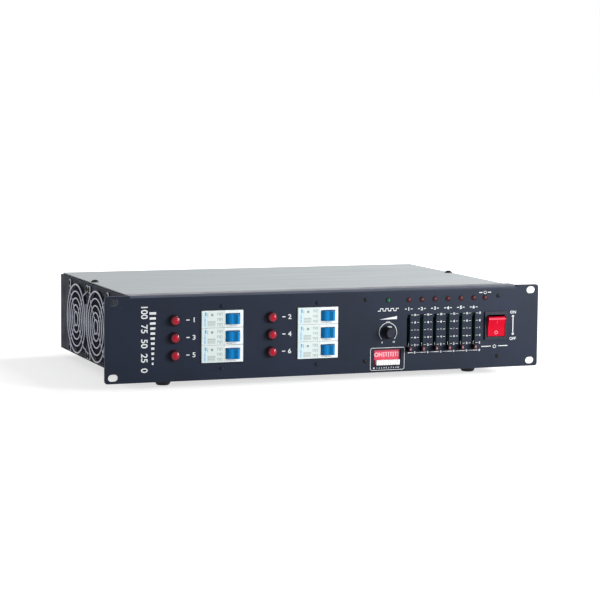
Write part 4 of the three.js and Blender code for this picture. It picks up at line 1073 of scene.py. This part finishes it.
# words of the level scale up the left edge, with a wedge of bars beside them
addWords(ink, *printing["levels"], turn=90)
for i in range(11):
    half = printing["wedgeHalf"] - printing["wedgeTaper"] * i
    addBar(ink, printing["wedgeX"] - half, printing["wedgeX"] + half,
           printing["wedgeTop"] - i * printing["wedgePitch"], 2.4)
for channel, bank, z in channels:
    x = printing["channelLabelX"][bank]
    addBar(ink, x - 5.2, x - 1.8, z, 1.0)
    addWords(ink, channel, x + 3.0, z, 5.0, wide=1.1)
for i, x in enumerate(channelX, 1):
    addWords(ink, str(i), x, printing["indicatorLabel"], 3.4, wide=1.15, bold=0.03)
    for side in (-1, 1):
        addBar(ink, x + side * 2.3, x + side * 4.4, printing["indicatorLabel"], 0.8)
# pulse train and rising wedge over the knob
step, high = printing["pulseStep"], printing["pulseHigh"]
z = printing["indicatorLabel"]
addStroke(ink, [(knob["x"] + x * step, z + (high if k % 2 else -high))
                for k in range(8) for x in (k - 4, k - 3)], 0.7)
left, right = knob["x"] - printing["riseHalf"], knob["x"] + printing["riseHalf"]
low, high = printing["riseZ"]
addPrism(ink, [(left, low), (right, low), (right, high)], -inkHigh, 0)
for side in (-1, 1):
    x = lamp["powerX"]
    addBar(ink, x + side * 3.2, x + side * 7.0, printing["powerZ"], 0.8)
    addBar(ink, printing["rockerX"] + side * 4.5, printing["rockerX"] + side * 15.5,
           printing["rockerZ"], 0.8)
addPowerMark(ink, lamp["powerX"], printing["powerZ"], 1.5)
addPowerMark(ink, printing["rockerX"], printing["rockerZ"] - 0.2, 1.7)
# scale round the knob
radius = printing["arcRadius"]
addStroke(ink, arcPoints(knob["x"], knob["z"], radius, -45, 225, 54), 0.55)
addStroke(ink, arcPoints(knob["x"], knob["z"], radius + 0.5, 78, 102, 8), 1.4)
for words, x, z in printing["arcEnds"]:
    addWords(ink, words, knob["x"] + x, z, 1.9)
addStroke(ink, roundedOutline(*printing["window"]), 0.45, closed=True)
for i, x in enumerate(keyX, 1):
    addWords(ink, str(i), x, printing["keyLabel"], 1.8, wide=0.85 if i == 10 else 1.0)
addDot(ink, printing["keyDotX"], printing["keyLabel"], 0.9, 20)
# scale beside each fader, its lowest line drawn through to the next slot
for i, slot in enumerate(channelX):
    for k in range(6):
        z = printing["scaleLow"] + k * printing["scaleStep"]
        addWords(ink, str(2 * k), slot + 7.5, z, 2.3, wide=0.9 if k == 5 else 1.1, bold=0.035)
        addBar(ink, slot + (2.9 if k else -0.4), slot + 5.3, z, 0.35 if k else 0.5)
        if i < 5:
            addBar(ink, slot + 9.7, slot + (12.0 if k else 14.4), z, 0.4)
for words, z in printing["onOff"]:
    addWords(ink, words, printing["onOffX"], z, 3.2)
addStroke(ink, [(printing["onOffX"], z) for z in printing["onOffLine"]], 1.0)
for z in printing["onOffLine"]:
    addDot(ink, printing["onOffX"], z, 1.3, 24)
setPiece("panel_print", ink, "whiteInk", even=False)
ink = bmesh.new()
addWords(ink, "ON", address["x"] - 9.6, 18.4, 4.6, bold=0.04)
for i in range(7):
    x = address["x"] - 3.4 + i * address["pitch"]
    addStroke(ink, [(x, 15.8 + 0.5 * (i % 2)), (x, 20.2)], 1.1)
    addBar(ink, x - 1.0, x + 1.0, 20.4, 0.9)
bmesh.ops.translate(ink, vec=(0, address["face"], 0), verts=ink.verts)
setPiece("address_switch_print", ink, "addressInk", even=False)
print("printing done")

# fans

fan = {
    "edge": 0.3,
    "centreX": -207.5,
    "height": 44.3,
    "rows": {"front": 113.7, "rear": 194.1},
    "hubRadius": 16.0,
    "hubLength": 15.0,
    "blades": 7,
    "tip": 35.9,
    "bladeThick": 1.35,
    "camber": 1.1,
    "along": 8,
    "across": 10,
    "wallX": -215.3,
    "screwX": -216.6,
    "wire": 0.8,
    "ringX": -3.4,
    "rings": [7.5, 14.93, 22.35, 29.78, 37.2],
    "spoke": [(-2.55, 6.4, 0), (-2.55, 30, 0), (-2.55, 39.5, 0), (-2.3, 41.0, 0),
              (-1.1, 42.9, 0), (-0.85, 44.2, 0), (-0.85, 47.4, 0)],
    "eyeX": -0.85,
    "eyeRadius": 3.35,
    "eyeReach": 50.55,
}


def rotorShape():
    shape = bmesh.new()
    r, length = fan["hubRadius"], fan["hubLength"]
    hub = [(0, 0.25), (r * 0.62, 0.25), (r * 0.66, 0.0), (r - 0.9, 0), (r, 1.0),
           (r, length), (0, length)]
    addTurned(shape, soften(hub, 0.5), axis="x", steps=56)
    along, across = fan["along"], fan["across"]
    for blade in range(fan["blades"]):
        base = 2 * math.pi * blade / fan["blades"]
        known = set(shape.faces)
        sheets = []
        for lift in (0, fan["bladeThick"]):
            rows = []
            for i in range(along + 1):
                s = i / along
                radius = r - 0.6 + (fan["tip"] - r + 0.6) * s
                span = math.radians(41 - 3 * s)
                row = []
                for k in range(across + 1):
                    t = k / across
                    camber = fan["camber"] * math.sin(math.pi * t)
                    x = 1.2 + 1.6 * s + (11.2 - 3.2 * s) * t - camber + lift
                    angle = base - span * (t - 0.5) + 0.2 * s * s
                    row.append(shape.verts.new((x, radius * math.cos(angle),
                                                radius * math.sin(angle))))
                rows.append(row)
            sheets.append(rows)
        low, high = sheets
        for i in range(along):
            for k in range(across):
                shape.faces.new((low[i][k], low[i][k + 1], low[i + 1][k + 1], low[i + 1][k]))
                shape.faces.new((high[i][k], high[i + 1][k], high[i + 1][k + 1], high[i][k + 1]))
            for k in (0, across):
                shape.faces.new((low[i][k], low[i + 1][k], high[i + 1][k], high[i][k]))
        for k in range(across):
            for i in (0, along):
                shape.faces.new((low[i][k], low[i][k + 1], high[i][k + 1], high[i][k]))
        paint(shape, known, 0)
    return toMesh("fan_rotor", shape, None)


def wireLoop(x, reach, radius, steps):
    return [(x, a, b) for a, b in arcPoints(reach, 0, radius, 0, 360, steps)[:-1]]


def guardShape():
    # drawn about the fan's axis, with 0 on the wall
    shape = bmesh.new()
    for radius in fan["rings"]:
        addTube(shape, wireLoop(fan["ringX"], 0, radius, 64), fan["wire"], closed=True)
    eye = wireLoop(fan["eyeX"], fan["eyeReach"], fan["eyeRadius"], 28)
    for turn in (45, 135, 225, 315):
        spin = turnBy(turn, "X")
        addTube(shape, [spin @ Vector(p) for p in fan["spoke"]], fan["wire"])
        addTube(shape, [spin @ Vector(p) for p in eye], fan["wire"], closed=True)
    return toMesh("fan_guard", shape, None)


rotorMesh, guardMesh = rotorShape(), guardShape()
reach = fan["eyeReach"] / math.sqrt(2)
fanScrews = []
for name, y in fan["rows"].items():
    setCopy("fan_housing_" + name, "fan_frame_" + name, fan["edge"], "fanBlack")
    setPiece("fan_impeller_" + name, rotorMesh, "bladeGrey", ["fan_rotor_" + name],
             spotOf(fan["centreX"], y, fan["height"]), body="rotor_" + name)
    setPiece("wire_guard_" + name, guardMesh, "chromeWire", ["fan_guard_" + name],
             spotOf(fan["wallX"], y, fan["height"]), even=False)
    fanScrews += [(fan["screwX"], y + a * reach, fan["height"] + b * reach)
                  for a in (-1, 1) for b in (-1, 1)]
screwSet("fan_screws", fanScrew, fanScrews, "blackScrew", toLeft)
print("fans done")

# rear fittings

rear = {
    "face": 275.3,
    "height": 44.3,
    "sockets": {"signal_out": (150.0, 9.75), "signal_in": (186.0, 9.75), "output": (-62.0, 18.5)},
    "wellDepth": 12.5,
    "pinDepth": 11.8,
    "insert": [(0, 2.8), (17.9, 2.8), (17.9, 8.6), (17.2, 9.2), (0, 9.2)],
    "contacts": 10,
    "contactCircle": 11.5,
    "contact": [(0, 9.4), (1.1, 9.4), (1.1, 9.1), (2.0, 9.1), (2.0, 9.5), (2.5, 9.5),
                (2.5, 9.0), (0, 9.0), (0, 9.4)],
    "socketEdge": 0.2,
    "gland": -150.0,
    "glandEdge": 0.7,
    "seal": [(9.05, 14), (9.05, 22.6), (8.4, 23.2), (6.2, 23.0), (5.8, 21), (5.8, 14),
             (9.05, 14)],
    "signalScrew": (9.6, 2.0, 12.1),
    "outputScrew": (22.4, 3.0, 22.4),
    "panelScrew": 275.0,
}
wall, height, sockets = rear["face"], rear["height"], rear["sockets"]
for name, (x, wellRadius) in sockets.items():
    mesh = softCopy(name + "_socket", rear["socketEdge"])
    for polygon in mesh.polygons:
        spot, normal = toPanel @ polygon.center, polygon.normal
        radius = math.hypot(spot.x - x, spot.z - height)
        corners = [toPanel @ mesh.vertices[v].co for v in polygon.vertices]
        reach = max(math.hypot(c.x - x, c.z - height) for c in corners)
        inward = (spot.x - x) * normal.x + (spot.z - height) * normal.z < 0.1
        if reach < wellRadius + 0.2 and inward and spot.y > wall - rear["wellDepth"]:
            polygon.material_index = 1
        pin = radius < 6.2 and reach < 7 and spot.y > wall - rear["pinDepth"]
        if name == "signal_in" and pin:
            polygon.material_index = 2
    setPiece(name + "_fitting", mesh, "satinNickel blackAbs contactGold",
             [name + "_socket"], shadeAngle=40)

shape = bmesh.new()
middle = sockets["output"][0]
addTurned(shape, soften(rear["insert"], 0.3), (middle, wall, height), steps=56)
circle = arcPoints(middle, height, rear["contactCircle"], 0, 360, rear["contacts"])[:-1]
for x, z in circle:
    addTurned(shape, soften(rear["contact"], 0.05), (x, wall, z), steps=24, index=1)
# keyway of the round socket
addBox(shape, (middle - 1.6, wall + 9.0, height - 4), (middle + 1.6, wall + 13.5, height + 4),
       0.5)
setPiece("output_insert", shape, "blackAbs contactGold")

setCopy("mains_gland_nut", "mains_gland", rear["glandEdge"], "blackAbs", 3)
shape = bmesh.new()
addTurned(shape, soften(rear["seal"], 0.4), (rear["gland"], wall, height), steps=48)
setPiece("gland_seal", shape, "footRubber")
right, back, up = rear["signalScrew"]
rearScrews = [(sockets[name][0] + a * right, wall + back, height + b * up)
              for name in ("signal_out", "signal_in") for a, b in ((-1, 1), (1, -1))]
right, back, up = rear["outputScrew"]
rearScrews += [(middle + a * right, wall + back, height + b * up)
               for a in (-1, 1) for b in (-1, 1)]
rearScrews += [(x, rear["panelScrew"], z) for x in (-208, 0, 208) for z in (9, 80)]
screwSet("rear_screws", smallScrew, rearScrews, "blackScrew", toRear)

# power board inside, seen only through the openings

power = {
    "sheetLow": 11.0,
    "sheetHigh": 14.0,
    "sinkBack": 145,
}
board = softCopy("dimmer_board", 0)
for face in board.polygons:
    spot = toPanel @ face.center
    if spot.z > power["sheetHigh"]:
        face.material_index = 1 if spot.y < power["sinkBack"] else 2
    elif spot.z < power["sheetLow"]:
        face.material_index = 3
setPiece("dimmer_board_assembly", board, "boardGreen extrudedAluminium enamelledCopper zincScrew",
         ["dimmer_board"], shadeAngle=40)
print("rear and inside done")
